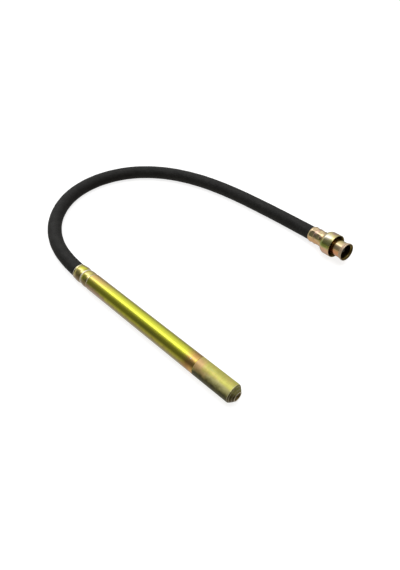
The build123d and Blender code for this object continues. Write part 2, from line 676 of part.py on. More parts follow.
save(head_tube(), "head_tube")
save(nose_cap(), "nose_cap")
save(lock_pin(), "lock_pin")
save(o_ring(SEAM - O_RING_FROM_JOINT), "nose_o_ring")
save(o_ring(TUBE_TAIL + O_RING_FROM_JOINT), "tail_o_ring")
save(tail_connector(), "tail_connector")
save(tail_ferrule(), "tail_ferrule")

save(outer_race(FRONT_BEARING), "front_bearing_outer")
save(inner_race(FRONT_BEARING), "front_bearing_inner")
save(balls(FRONT_BEARING), "front_bearing_balls")
save(cage(FRONT_BEARING), "front_bearing_cage")
REAR_BEARINGS = (REAR_BEARING_1, REAR_BEARING_2)
for make, node in (
    (outer_race, "rear_bearing_outers"),
    (inner_race, "rear_bearing_inners"),
    (balls, "rear_bearing_balls"),
    (cage, "rear_bearing_cages"),
):
    save(Compound([solid for start in REAR_BEARINGS for solid in make(start).solids()]), node)
save(bearing_spacer(), "bearing_spacer")
save(Compound([snap_ring(REAR_SNAP).solid(), snap_ring(FRONT_SNAP).solid()]), "snap_rings")
save(oil_seal(), "oil_seal")
save(eccentric_rotor(), "eccentric_rotor")
save(core_head_fitting(), "core_head_fitting")

save(route_tube(HOSE_ROUTE, HOSE_RADII, HOSE_RADIUS, JACKET_INNER_RADIUS), "hose_jacket")
save(route_tube(HOSE_ROUTE, HOSE_RADII, BRAID_OUTER_RADIUS, BRAID_INNER_RADIUS), "hose_braid")
save(route_tube(HOSE_ROUTE, HOSE_RADII, LINER_OUTER_RADIUS, LINER_INNER_RADIUS), "hose_liner")
CORE_ROUTE = lengthened(HOSE_ROUTE, CORE_TAIL - HOSE_END, DRIVE_CORE_END - HOSE_INSERTION)
save(route_tube(CORE_ROUTE, HOSE_RADII, CORE_RADIUS), "flexible_core")

for make in (
    drive_ferrule,
    drive_connector,
    drive_stub,
    thrust_washer,
    coupling_nut,
    stub_bush,
    bush_circlip,
    core_drive_fitting,
):
    save(DRIVE_PLACE * make(), make.__name__)

print("lowest point of the nut:", round((DRIVE_PLACE * coupling_nut()).bounding_box().min.Z, 2))
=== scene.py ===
"""Looks of the concrete vibrator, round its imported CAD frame.

Sizes are in millimetres where a class doesn't say otherwise. Stations run along a piece's own
axis: along X for the head, from the middle of the head, and along the drive end's axis for the
drive end, from the mouth of its ferrule. Meshes are placed in metres, in the frame of the CAD.
"""

import logging
import math
from collections.abc import Sequence
from dataclasses import dataclass, field
from enum import Enum

import bmesh
import bpy
from mathutils import Matrix, Vector, noise


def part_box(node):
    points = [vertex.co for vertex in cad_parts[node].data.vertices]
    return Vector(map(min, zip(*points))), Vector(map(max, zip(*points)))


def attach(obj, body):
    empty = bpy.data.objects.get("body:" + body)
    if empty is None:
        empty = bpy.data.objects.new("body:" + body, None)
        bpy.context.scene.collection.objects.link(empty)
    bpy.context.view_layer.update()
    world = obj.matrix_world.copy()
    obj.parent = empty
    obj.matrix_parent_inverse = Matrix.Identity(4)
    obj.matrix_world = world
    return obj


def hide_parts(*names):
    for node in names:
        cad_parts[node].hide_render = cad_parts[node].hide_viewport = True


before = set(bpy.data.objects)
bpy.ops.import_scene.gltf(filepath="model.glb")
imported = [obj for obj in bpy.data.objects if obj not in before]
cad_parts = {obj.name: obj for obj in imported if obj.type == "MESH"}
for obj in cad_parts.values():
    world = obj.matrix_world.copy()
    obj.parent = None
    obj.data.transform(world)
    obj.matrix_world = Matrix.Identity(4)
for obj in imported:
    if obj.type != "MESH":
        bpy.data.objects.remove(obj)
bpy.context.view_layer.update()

MM = 0.001
Colour = tuple[float, float, float]
Point = tuple[float, float, float]
Corner = tuple[float, float, float]
Sweep = tuple[tuple[float, Colour], ...]
log = logging.getLogger("vibrator")


def linear(red: int, green: int, blue: int) -> Colour:
    """Return a screen colour of 0 to 255 as linear values."""
    shares = (channel / 255 for channel in (red, green, blue))
    return tuple(s / 12.92 if s <= 0.04045 else ((s + 0.055) / 1.055) ** 2.4 for s in shares)


def soft_min(first: float, second: float, blend: float) -> float:
    """Return the lower of two values, rounded off where they cross.

    Args:
        first: One value.
        second: The other value.
        blend: How far apart the two are when the rounding starts.

    Returns:
        A value at or just below the lower one.
    """
    share = max(blend - abs(first - second), 0.0) / blend
    return min(first, second) - share * share * blend / 4


# ---------------------------------------------------------------- places


@dataclass(frozen=True)
class Place:
    """Where a piece made about the X axis stands: its origin, in metres, and its axis."""

    origin: Vector
    axis: Vector

    @property
    def turn(self) -> Matrix:
        """The turn from the piece's own axes to the frame: X along the axis, Y level."""
        level = Vector((0, 0, 1)).cross(self.axis).normalized()
        return Matrix((self.axis, level, self.axis.cross(level))).transposed()

    @property
    def matrix(self) -> Matrix:
        """The whole move from millimetres about the piece's own axis to the frame."""
        return Matrix.Translation(self.origin) @ self.turn.to_4x4() @ Matrix.Scale(MM, 4)


# ---------------------------------------------------------------- shader trees


class Tree:
    """Adds nodes to one node tree and links them."""

    def __init__(self, tree: bpy.types.NodeTree) -> None:
        """Take the node tree that the nodes go into."""
        self.tree = tree

    def feed(self, socket: bpy.types.NodeSocket, value: object) -> None:
        """Link a socket to another one, or set its own value.

        Args:
            socket: The input to feed.
            value: An output socket, a number, a vector or a colour.
        """
        if isinstance(value, bpy.types.NodeSocket):
            self.tree.links.new(value, socket)
        elif socket.type == "RGBA" and len(value) == 3:
            socket.default_value = (*value, 1.0)
        else:
            socket.default_value = value

    def node(
        self, kind: str, inputs: dict[str | int, object], **settings: object
    ) -> bpy.types.Node:
        """Add a node.

        Args:
            kind: The node's type name.
            inputs: What to feed its inputs, by socket name or number.
            **settings: Its properties.

        Returns:
            The new node.
        """
        made = self.tree.nodes.new(kind)
        for name, value in settings.items():
            setattr(made, name, value)
        for name, value in inputs.items():
            self.feed(made.inputs[name], value)
        return made

    def math(self, operation: str, *values: object) -> bpy.types.NodeSocket:
        """Return the output of a Math node fed with the values."""
        return self.node("ShaderNodeMath", dict(enumerate(values)), operation=operation).outputs[0]

    def vector(self, operation: str, *values: object) -> bpy.types.Node:
        """Return a Vector Math node fed with the values."""
        return self.node("ShaderNodeVectorMath", dict(enumerate(values)), operation=operation)

    def mix(self, share: object, first: object, second: object) -> bpy.types.NodeSocket:
        """Return the colour between two others."""
        fed = {0: share, 6: first, 7: second}
        return self.node("ShaderNodeMix", fed, data_type="RGBA").outputs[2]

    def smooth(self, value: object, low: object, high: object) -> bpy.types.NodeSocket:
        """Return 0 below low, 1 above high and a smooth step between them.

        Args:
            value: The number to step.
            low: Where the step starts. It may be above high.
            high: Where the step ends.

        Returns:
            The output of a Map Range node.
        """
        fed = {"Value": value, "From Min": low, "From Max": high}
        made = self.node("ShaderNodeMapRange", fed, interpolation_type="SMOOTHSTEP")
        return made.outputs["Result"]

    def noise(self, vector: object, scale: object, detail: float = 3.0) -> bpy.types.NodeSocket:
        """Return the value of a noise at a point."""
        fed = {"Vector": vector, "Scale": scale, "Detail": detail}
        return self.node("ShaderNodeTexNoise", fed).outputs[0]

    def noise_line(self, value: object, scale: object, detail: float) -> bpy.types.NodeSocket:
        """Return the value of a noise that changes along one number only."""
        fed = {"W": value, "Scale": scale, "Detail": detail}
        return self.node("ShaderNodeTexNoise", fed, noise_dimensions="1D").outputs[0]

    def bump(self, height: object, depth: float, strength: float = 1.0) -> bpy.types.NodeSocket:
        """Return the normal of a surface with a relief, its depth in millimetres."""
        fed = {"Height": height, "Distance": depth * MM, "Strength": strength}
        return self.node("ShaderNodeBump", fed).outputs[0]

    def parts(self, vector: object) -> Sequence[bpy.types.NodeSocket]:
        """Return the three parts of a vector."""
        return self.node("ShaderNodeSeparateXYZ", {0: vector}).outputs

    def group(self, effect: bpy.types.NodeTree, inputs: dict[str, object]) -> bpy.types.Node:
        """Place a shader node group with its own values.

        Args:
            effect: The group.
            inputs: What to feed its inputs, by socket name.

        Returns:
            The group's node.
        """
        made = self.tree.nodes.new("ShaderNodeGroup")
        made.node_tree = effect
        for name, value in inputs.items():
            self.feed(made.inputs[name], value)
        return made


FLOAT = "NodeSocketFloat"
VECTOR = "NodeSocketVector"
COLOUR = "NodeSocketColor"


class Effects:
    """The effects that several finishes share, each one a shader node group built once.

    Every group takes a point in millimetres about the piece's own axis.
    """

    def __init__(self) -> None:
        """Build all the groups."""
        self.turned_lines = self._turned_lines()
        self.film = self._film()
        self.patch = self._patch()
        self.handling = self._handling()
        self.edge_wear = self._edge_wear()

    @staticmethod
    def _start(name: str, inputs: dict[str, str], outputs: dict[str, str]) -> tuple:
        """Start a group.

        Args:
            name: The group's name.
            inputs: Socket type of each input.
            outputs: Socket type of each output.

        Returns:
            The group, its tree, the outputs of its input node and the inputs of its output node.
        """
        made = bpy.data.node_groups.new(name, "ShaderNodeTree")
        for label, kind in inputs.items():
            made.interface.new_socket(label, in_out="INPUT", socket_type=kind)
        for label, kind in outputs.items():
            made.interface.new_socket(label, in_out="OUTPUT", socket_type=kind)
        tree = Tree(made)
        source = made.nodes.new("NodeGroupInput").outputs
        return made, tree, source, made.nodes.new("NodeGroupOutput").inputs

    def _turned_lines(self) -> bpy.types.NodeTree:
        """Fine rings that a lathe tool leaves, on a barrel, a cone or a flat face.

        Returns:
            The group.
        """
        made, tree, source, sink = self._start(
            "turned_lines", {"Point": VECTOR, "Pitch": FLOAT}, {"Height": FLOAT}
        )
        along = tree.parts(source["Point"])[0]
        sideways = tree.vector("MULTIPLY", source["Point"], (0, 1, 1)).outputs[0]
        radius = tree.vector("LENGTH", sideways).outputs["Value"]
        run = tree.math("MULTIPLY_ADD", radius, 1.15, along)
        rings = tree.math("DIVIDE", run, source["Pitch"])
        fine = tree.noise_line(rings, 1.0, 1.0)
        coarse = tree.noise_line(rings, 0.14, 2.0)
        broken = tree.noise(source["Point"], 0.11, 2.0)
        ringed = tree.math("MULTIPLY_ADD", coarse, 0.55, fine)
        tree.feed(sink["Height"], tree.math("MULTIPLY", ringed, tree.math("ADD", broken, 0.4)))
        return made

    def _film(self) -> bpy.types.NodeTree:
        """Passivation film: three tints that run into each other in long soft clouds.

        Returns:
            The group.
        """
        tints = {"Main": COLOUR, "Second": COLOUR, "Third": COLOUR}
        made, tree, source, sink = self._start(
            "passivation_film", {"Point": VECTOR, "Cloud": FLOAT, **tints}, {"Color": COLOUR}
        )
        drawn = tree.vector("MULTIPLY", source["Point"], (0.4, 1.0, 1.0)).outputs[0]
        scale = tree.math("DIVIDE", 1.0, source["Cloud"])
        moved = tree.vector("ADD", drawn, (57.0, 13.0, 29.0)).outputs[0]
        first = tree.smooth(tree.noise(drawn, scale, 2.0), 0.45, 0.68)
        second = tree.smooth(tree.noise(moved, scale, 3.0), 0.52, 0.74)
        both = tree.mix(first, source["Main"], source["Second"])
        tree.feed(sink["Color"], tree.mix(second, both, source["Third"]))
        return made

    def _patch(self) -> bpy.types.NodeTree:
        """A soft ragged patch about a centre, with its own reach along each axis.

        Returns:
            The group.
        """
        made, tree, source, sink = self._start(
            "tint_patch", {"Point": VECTOR, "Centre": VECTOR, "Reach": VECTOR}, {"Mask": FLOAT}
        )
        away = tree.vector("SUBTRACT", source["Point"], source["Centre"]).outputs[0]
        shares = tree.vector("DIVIDE", away, source["Reach"]).outputs[0]
        distance = tree.vector("LENGTH", shares).outputs["Value"]
        ragged = tree.math("MULTIPLY_ADD", tree.noise(source["Point"], 0.13), 0.5, distance)
        tree.feed(sink["Mask"], tree.smooth(ragged, 1.35, 0.35))
        return made

    def _handling(self) -> bpy.types.NodeTree:
        """Marks of handling: hairline scratches along the piece, and small dull specks.

        Returns:
            The group.
        """
        made, tree, source, sink = self._start(
            "handling_marks", {"Point": VECTOR}, {"Scratch": FLOAT, "Speck": FLOAT}
        )
        drawn = tree.vector("MULTIPLY", source["Point"], (0.05, 2.6, 2.6)).outputs[0]
        slanted = tree.vector("MULTIPLY", source["Point"], (0.9, 0.35, 0.08)).outputs[0]
        lines = tree.smooth(tree.noise(drawn, 1.0, 1.0), 0.70, 0.76)
        where = tree.smooth(tree.noise(source["Point"], 0.05), 0.46, 0.62)
        crossing = tree.smooth(tree.noise(slanted, 1.7, 1.0), 0.74, 0.78)
        both = tree.math("MAXIMUM", lines, crossing)
        tree.feed(sink["Scratch"], tree.math("MULTIPLY", both, where))
        tree.feed(sink["Speck"], tree.smooth(tree.noise(source["Point"], 0.55, 2.0), 0.70, 0.80))
        return made

    def _edge_wear(self) -> bpy.types.NodeTree:
        """Where the film is rubbed off a rounded edge.

        Returns:
            The group.
        """
        made, tree, source, sink = self._start(
            "edge_wear", {"Point": VECTOR, "Edge": FLOAT}, {"Mask": FLOAT}
        )
        broken = tree.smooth(tree.noise(source["Point"], 0.35), 0.25, 0.6)
        tree.feed(sink["Mask"], tree.math("MULTIPLY", source["Edge"], broken))
        return made


EFFECTS = Effects()


# ---------------------------------------------------------------- finishes


def principled(name: str) -> tuple[bpy.types.Material, Tree, bpy.types.Node]:
    """Start a material.

    Args:
        name: The material's name.

    Returns:
        The material, its tree and its Principled BSDF.
    """
    material = bpy.data.materials.new(name)
    material.use_nodes = True
    nodes = material.node_tree.nodes
    surface = next(node for node in nodes if node.type == "BSDF_PRINCIPLED")
    return material, Tree(material.node_tree), surface


@dataclass(frozen=True)
class Patch:
    """A stretch of the surface in another tint, mostly one that the passivation bath left; the
    patches marked as painted shade and painted highlight stand in for light.

    The centre and the reach are in millimetres about the piece's own axis. A strength over 1
    widens the part of the patch that takes the whole tint.
    """

    centre: Point
    reach: Point
    tint: Colour
    strength: float


@dataclass(frozen=True)
class TurnedMetal:
    """Turned or ground metal, bare or under a passivation film of three tints.

    The pitch of its tool lines, their depth and the size of the film's clouds are in
    millimetres. Bare is the tint of its worn edges and scratches, and varnish is the share of
    its clear top film.
    """

    main: Colour
    second: Colour
    third: Colour
    roughness: float = 0.3
    pitch: float = 0.35
    line_depth: float = 0.004
    cloud: float = 30.0
    bare: Colour = (0.62, 0.60, 0.55)
    scratch: float = 0.25
    varnish: float = 0.0
    metal: float = 1.0
    line_shade: float = 0.18
    patches: tuple[Patch, ...] = ()

    def build(self, name: str, place: Place) -> bpy.types.Material:
        """Build the material for pieces at one place.

        Args:
            name: The material's name.
            place: The place whose axis the lines run round.

        Returns:
            The material.
        """
        material, tree, surface = principled(name)
        point = own_point(tree, place)
        lines = tree.group(EFFECTS.turned_lines, {"Point": point, "Pitch": self.pitch}).outputs[0]
        tints = {"Main": self.main, "Second": self.second, "Third": self.third}
        colour = tree.group(EFFECTS.film, {"Point": point, "Cloud": self.cloud, **tints}).outputs[0]
        for patch in self.patches:
            fed = {"Point": point, "Centre": patch.centre, "Reach": patch.reach}
            mask = tree.group(EFFECTS.patch, fed).outputs[0]
            colour = tree.mix(tree.math("MULTIPLY", mask, patch.strength), colour, patch.tint)
        shade = tree.smooth(lines, 0.25, 1.1)
        colour = tree.mix(tree.math("MULTIPLY", shade, self.line_shade), colour, self.dark)
        marks = tree.group(EFFECTS.handling, {"Point": point}).outputs
        worn = tree.node("ShaderNodeAttribute", {}, attribute_name="edge").outputs["Fac"]
        wear = tree.group(EFFECTS.edge_wear, {"Point": point, "Edge": worn}).outputs[0]
        rubbed = tree.math("MAXIMUM", tree.math("MULTIPLY", marks["Scratch"], self.scratch), wear)
        colour = tree.mix(tree.math("MULTIPLY", rubbed, 0.7), colour, self.bare)
        colour = tree.mix(tree.math("MULTIPLY", marks["Speck"], 0.35), colour, self.dark)
        tree.feed(surface.inputs["Base Color"], colour)
        surface.inputs["Metallic"].default_value = self.metal
        surface.inputs["Coat Weight"].default_value = self.varnish
        surface.inputs["Coat Roughness"].default_value = 0.12
        rough = tree.math("MULTIPLY_ADD", shade, 0.08, self.roughness)
        rough = tree.math("MULTIPLY_ADD", marks["Speck"], 0.2, rough)
        tree.feed(surface.inputs["Roughness"], tree.math("MULTIPLY_ADD", rubbed, 0.1, rough))
        height = tree.math("MULTIPLY_ADD", marks["Scratch"], -self.scratch, lines)
        tree.feed(surface.inputs["Normal"], tree.bump(height, self.line_depth))
        return material

    @property
    def dark(self) -> Colour:
        """The painted shade at the bottom of a tool line, and the tint under a dull speck."""
        return tuple(0.45 * channel for channel in self.main)


def own_point(tree: Tree, place: Place) -> bpy.types.NodeSocket:
    """Return the shaded point in millimetres about a place's own axis.

    Args:
        tree: The material's tree.
        place: The place.

    Returns:
        The point.
    """
    where = tree.node("ShaderNodeTexCoord", {}).outputs["Object"]
    fed = {
        "Vector": where,
        "Location": place.origin,
        "Rotation": place.turn.to_euler("XYZ"),
        "Scale": (MM, MM, MM),
    }
    return tree.node("ShaderNodeMapping", fed, vector_type="TEXTURE").outputs[0]


@dataclass(frozen=True)
class WrappedRubber:
    """Black hose rubber, cured in a wrap of cloth that left its weave and its overlaps."""

    dark: Colour = linear(17, 17, 17)
    light: Colour = linear(31, 31, 30)
    bloom: Colour = linear(74, 72, 70)
    roughness: float = 0.62
    thread: float = 1.3
    weave_depth: float = 0.08
    wrap_pitch: float = 34.0
    radius: float = 15.25

    def build(self, name: str) -> bpy.types.Material:
        """Build the material. It reads the rest attribute, the point on the straight hose.

        Args:
            name: The material's name.

        Returns:
            The material.
        """
        material, tree, surface = principled(name)
        rest = tree.node("ShaderNodeAttribute", {}, attribute_name="rest").outputs["Vector"]
        along, across, up = tree.parts(rest)[:3]
        angle = tree.math("ARCTAN2", across, up)
        full = 2 * math.pi
        threads = round(full * self.radius / self.thread)
        weft = tree.math("SINE", tree.math("MULTIPLY", angle, threads))
        warp = tree.math("SINE", tree.math("MULTIPLY", along, full / self.thread))
        weave = tree.math("MULTIPLY", weft, warp)
        turns = tree.math("DIVIDE", along, self.wrap_pitch)
        phase = tree.math("FRACT", tree.math("ADD", turns, tree.math("DIVIDE", angle, full)))
        lap = tree.smooth(phase, 0.05, 0.0)
        cloudy = tree.noise(rest, 0.06, 4.0)
        grain = tree.noise(rest, 1.4, 3.0)
        drawn = tree.vector("MULTIPLY", rest, (0.22, 1.0, 1.0)).outputs[0]
        scuff = tree.smooth(tree.noise(drawn, 0.45, 3.0), 0.66, 0.78)
        patchy = tree.smooth(tree.noise(rest, 0.018, 1.0), 0.50, 0.66)
        scuffed = tree.math("MULTIPLY", scuff, patchy)
        tone = tree.math("MULTIPLY_ADD", weave, 0.22, tree.smooth(cloudy, 0.3, 0.7))
        colour = tree.mix(tone, self.dark, self.light)
        colour = tree.mix(tree.math("MULTIPLY", grain, 0.12), colour, self.bloom)
        colour = tree.mix(tree.math("MULTIPLY", scuffed, 0.7), colour, self.bloom)
        shadow = tuple(0.4 * channel for channel in self.dark)
        colour = tree.mix(tree.math("MULTIPLY", lap, 0.6), colour, shadow)
        tree.feed(surface.inputs["Base Color"], colour)
        rough = tree.math("MULTIPLY_ADD", grain, 0.25, self.roughness - 0.12)
        tree.feed(surface.inputs["Roughness"], rough)
        surface.inputs["Specular IOR Level"].default_value = 0.35
        height = tree.math("MULTIPLY_ADD", grain, 0.6, weave)
        tree.feed(surface.inputs["Normal"], tree.bump(height, self.weave_depth, 0.8))
        return material


@dataclass(frozen=True)
class Moulded:
    """Grainy stuff, such as seal rubber, braid cord or drawn wire, with sizes in millimetres."""

    dark: Colour
    light: Colour
    roughness: float
    grain: float
    depth: float
    metal: float = 0.0

    def build(self, name: str, attribute: str | None = None) -> bpy.types.Material:
        """Build the material.

        Args:
            name: The material's name.
            attribute: The mesh attribute to take the point from, or None for the object's own.

        Returns:
            The material.
        """
        material, tree, surface = principled(name)
        if attribute:
            point = tree.node("ShaderNodeAttribute", {}, attribute_name=attribute).outputs["Vector"]
        else:
            where = tree.node("ShaderNodeTexCoord", {}).outputs["Object"]
            point = tree.vector("SCALE", where, (0, 0, 0), (0, 0, 0), 1 / MM).outputs[0]
        grain = tree.noise(point, 1 / self.grain, 4.0)
        broad = tree.noise(point, 0.12 / self.grain, 2.0)
        tone = tree.math("MULTIPLY_ADD", grain, 0.5, tree.math("MULTIPLY", broad, 0.6))
        tree.feed(surface.inputs["Base Color"], tree.mix(tone, self.dark, self.light))
        surface.inputs["Metallic"].default_value = self.metal
        rough = tree.math("MULTIPLY_ADD", grain, 0.2, self.roughness - 0.1)
        tree.feed(surface.inputs["Roughness"], rough)
        tree.feed(surface.inputs["Normal"], tree.bump(grain, self.depth))
        return material


GREEN_GOLD = (0.88, 0.90, 0.045)
OLIVE_GOLD = (0.86, 0.80, 0.07)
ORANGE_GOLD = (0.95, 0.74, 0.14)
COPPER = (0.95, 0.50, 0.24)
ROSE = (0.88, 0.60, 0.44)
PEACH = (0.92, 0.70, 0.42)
PALE_GOLD = (0.92, 0.80, 0.36)
PALE_GREEN = (0.78, 0.80, 0.30)
# A green tint that also paints the darker band below a highlight.
DEEP_GREEN_SHADE = (0.36, 0.44, 0.08)
STRAW = (0.90, 0.76, 0.26)
BRONZE_BROWN = (0.90, 0.50, 0.14)
CREAM = (0.95, 0.88, 0.70)
DARK_BROWN = (0.34, 0.14, 0.02)
# Painted shade: a dark olive for the near sides of the ferrule's bulges.
OLIVE_SHADE = (0.16, 0.14, 0.05)
# Painted shade: a dark brown for the near underside of the head.
UNDERSIDE_SHADE_BROWN = (0.36, 0.29, 0.07)
# A rose tint that also paints shade: a dark rose for near undersides.
UNDERSIDE_SHADE_ROSE = (0.46, 0.30, 0.18)


class Stuff(Enum):
    """The finishes that more than one piece takes."""

    HEAD_FILM = TurnedMetal(
        GREEN_GOLD, OLIVE_GOLD, GREEN_GOLD, roughness=0.15, pitch=0.25, line_depth=0.0012,
        cloud=60.0, line_shade=0.06, bare=CREAM, scratch=0.15, varnish=1.0,
        patches=(
            Patch((-40, 17, 4), (500, 12, 14), ORANGE_GOLD, 0.9),
            # Painted shade: the near underside of the head darker, along its whole length.
            Patch((0, -17, -5), (500, 14, 15), UNDERSIDE_SHADE_BROWN, 1.8),
            # Rose tint and painted shade on the near underside by the tail.
            Patch((-160, -18, -2), (80, 14, 16), UNDERSIDE_SHADE_ROSE, 1.8),
            Patch((116, 0, 0), (22, 80, 80), BRONZE_BROWN, 1.0),
            Patch((108, -15, 0), (14, 9, 14), DARK_BROWN, 0.8),
            Patch((-160, 6, 14), (75, 18, 16), COPPER, 0.75),
            # Green tint and painted shade in the dark band below the highlight.
            Patch((10, -13, 12), (60, 6, 6), DEEP_GREEN_SHADE, 0.35),
        ),
    )
    FERRULE_FILM = TurnedMetal(
        STRAW, OLIVE_GOLD, GREEN_GOLD, roughness=0.13, pitch=0.3, line_depth=0.002,
        cloud=10.0, line_shade=0.06, bare=CREAM, scratch=0.15, varnish=0.6,
        patches=(
            # Rose tint and painted shade on the near underside of the ferrule.
            Patch((-188, -17, -4), (40, 15, 16), UNDERSIDE_SHADE_ROSE, 2.2),
            # Painted shade on the near sides of the bulges.
            Patch((-188, -17, 4), (40, 8, 12), OLIVE_SHADE, 0.6),
            Patch((-188, 17, 6), (40, 12, 12), ROSE, 0.8),
        ),
    )
    NOSE_FILM = TurnedMetal(
        (0.74, 0.71, 0.16), (0.80, 0.66, 0.19), (0.72, 0.72, 0.24), roughness=0.36, pitch=0.45,
        line_depth=0.008, cloud=7.0, line_shade=0.4, bare=CREAM, scratch=0.6, metal=0.5,
        patches=(
            Patch((130, -4, 13), (16, 20, 14), (0.88, 0.55, 0.26), 1.3),
            Patch((150, -13, 11), (26, 8, 8), (0.92, 0.62, 0.26), 1.2),
            Patch((180, -12, 12), (44, 8, 8), (1.0, 0.94, 0.40), 1.6),
            # Painted shade: the near lower side of the nose almost black.
            Patch((165, -19, -1), (160, 15, 20), (0.028, 0.025, 0.010), 1.35),
        ),
    )
    CONE_FILM = TurnedMetal(
        (0.42, 0.40, 0.13), (0.30, 0.26, 0.09), (0.60, 0.56, 0.24), roughness=0.3, pitch=1.1,
        line_depth=0.04, cloud=6.0, line_shade=0.5, bare=CREAM, scratch=0.4, metal=0.7,
        # Painted shade: the near lower side of the cone and its face dark brown.
        patches=(Patch((206, -13, -2), (20, 14, 18), (0.09, 0.065, 0.02), 2.0),),
    )
    # Painted highlight: a pale cream for narrow rims and grooves, for the light that their edges
    # catch.
    RIM_HIGHLIGHT = TurnedMetal(
        CREAM, CREAM, PEACH, roughness=0.32, pitch=0.3, line_depth=0.002, cloud=5.0,
        line_shade=0.1, bare=CREAM, metal=0.55,
    )
    DRIVE_FILM = TurnedMetal(
        PEACH, PALE_GOLD, ROSE, roughness=0.12, pitch=0.3, line_depth=0.002, cloud=12.0,
        line_shade=0.06, bare=CREAM, scratch=0.15, varnish=0.4,
        patches=(
            Patch((76, 6, 15), (12, 16, 8), STRAW, 0.9),
            Patch((80, -16, -8), (40, 16, 18), (0.86, 0.40, 0.18), 2.0),
            Patch((14, -16, -8), (30, 15, 16), (0.86, 0.52, 0.25), 1.8),
            Patch((17, -6, 14), (6, 20, 14), ROSE, 1.4),
        ),
    )
    LIP_FILM = TurnedMetal(
        (0.80, 0.60, 0.42), (0.84, 0.66, 0.44), (0.76, 0.52, 0.36), roughness=0.34, pitch=0.3,
        line_depth=0.003, cloud=7.0, line_shade=0.15, bare=CREAM, scratch=0.3, metal=0.6,
    )
    NUT_FILM = TurnedMetal(
        PALE_GOLD, PALE_GREEN, STRAW, roughness=0.17, pitch=0.3, line_depth=0.003, cloud=16.0,
        line_shade=0.1, bare=CREAM, scratch=0.15, varnish=0.6,
        patches=(
            Patch((50, -22, -12), (34, 20, 20), (0.90, 0.54, 0.34), 2.0),
            # Green tint and painted shade: the dark band below the nut's highlight.
            Patch((50, -22, 8), (24, 9, 8), DEEP_GREEN_SHADE, 1.3),
            # Painted highlight: a cream streak along the top of the nut.
            Patch((50, -10, 22), (14, 9, 9), CREAM, 1.6),
            Patch((56, 6, 23), (8, 9, 8), ROSE, 1.5),
            Patch((44, 20, 14), (20, 12, 12), (0.55, 0.50, 0.26), 0.8),
        ),
    )
    # Bare steel of the peened pin, painted near-white and less metallic as a highlight on its dome.
    PIN_HIGHLIGHT = TurnedMetal(
        (1.0, 0.96, 0.88), CREAM, CREAM, roughness=0.38, pitch=0.3, line_depth=0.002,
        line_shade=0.05, metal=0.2,
    )
    # Painted shade: dark brown with gold clouds for insides and recesses, for the shade inside
    # them.
    INSIDE_SHADE = TurnedMetal(
        (0.24, 0.17, 0.045), (0.10, 0.07, 0.02), (0.44, 0.33, 0.10), roughness=0.28, pitch=0.5,
        line_depth=0.006, cloud=7.0, line_shade=0.3, bare=(0.5, 0.4, 0.16), scratch=0.4,
    )
    BEARING_STEEL = TurnedMetal(
        linear(196, 198, 202), linear(180, 182, 186), linear(206, 205, 200), roughness=0.14,
        pitch=0.2, line_depth=0.001,
    )
    MACHINED_STEEL = TurnedMetal(
        linear(176, 176, 178), linear(158, 157, 156), linear(188, 184, 176), roughness=0.32,
        pitch=0.5, line_depth=0.008, line_shade=0.3,
    )
    SPRING_STEEL = TurnedMetal(
        linear(74, 76, 84), linear(58, 60, 66), linear(96, 88, 76), roughness=0.35,
        pitch=0.3, line_depth=0.003, bare=linear(160, 160, 164),
    )
    CAGE_BRASS = TurnedMetal(
        linear(206, 168, 88), linear(190, 150, 76), linear(214, 182, 108), roughness=0.3,
        pitch=0.3, line_depth=0.004,
    )
    BUSH_BRONZE = TurnedMetal(
        linear(186, 128, 74), linear(168, 112, 62), linear(196, 146, 92), roughness=0.35,
        pitch=0.35, line_depth=0.006, line_shade=0.25,
    )


# ---------------------------------------------------------------- building pieces

SHARP_ANGLE = math.radians(50)
WIDEST_EDGE = 1.5
AXIS_RADIUS = 0.02


def shown(
    name: str, shape: bmesh.types.BMesh, materials: Sequence[bpy.types.Material]
) -> bpy.types.Object:
    """Turn a finished bmesh into an object in the scene, with smooth faces and sharp edges.

    Args:
        name: The piece's name.
        shape: The finished shape, which is freed.
        materials: The piece's materials.

    Returns:
        The new object.
    """
    mesh = bpy.data.meshes.new(name)
    shape.to_mesh(mesh)
    shape.free()
    for material in materials:
        mesh.materials.append(material)
    mesh.shade_smooth()
    mesh.set_sharp_from_angle(angle=SHARP_ANGLE)
    piece = bpy.data.objects.new(name, mesh)
    bpy.context.scene.collection.objects.link(piece)
    return piece


@dataclass
class Turning:
    """A closed outline of (station, radius, rounding) corners, spun about its own axis.

    Cuts gives the number of cuts in the outline's sides, by the number of their first corner.
    """

    outline: Sequence[Corner]
    segments: int = 120
    cuts: dict[int, int] = field(default_factory=dict)

    def spin(self) -> bmesh.types.BMesh:
        """Round the outline's corners and spin it.

        Returns:
            A closed shell in millimetres about X, with its rounded corners marked as edges.
        """
        shape = bmesh.new()
        edge = shape.verts.layers.float.new("edge")
        corners = [shape.verts.new((station, 0, radius)) for station, radius, _ in self.outline]
        face = shape.faces.new(corners)
        roundings = [rounding for _, _, rounding in self.outline]
        runs = {index: face.edges[index] for index in self.cuts}
        for index, run in runs.items():
            bmesh.ops.subdivide_edges(shape, edges=[run], cuts=self.cuts[index])
        for rounding in sorted({r for r in roundings if r > 0}):
            chosen = [v for v, r in zip(corners, roundings) if r == rounding and v.is_valid]
            made = bmesh.ops.bevel(
                shape, geom=chosen, offset=rounding, segments=3 if rounding < WIDEST_EDGE else 12,
                profile=0.5, affect="VERTICES", material=-1, clamp_overlap=True,
            )
            if rounding < WIDEST_EDGE:
                for vertex in made["verts"]:
                    inner = all(side.calc_length() < rounding for side in vertex.link_edges)
                    vertex[edge] = float(inner)
        bmesh.ops.delete(shape, geom=list(shape.faces), context="FACES_ONLY")
        bmesh.ops.spin(
            shape, geom=[*shape.verts, *shape.edges], cent=(0, 0, 0), axis=(1, 0, 0),
            angle=2 * math.pi, steps=self.segments, use_merge=True,
        )
        bmesh.ops.remove_doubles(shape, verts=shape.verts, dist=1e-4)
        bmesh.ops.recalc_face_normals(shape, faces=shape.faces)
        return shape


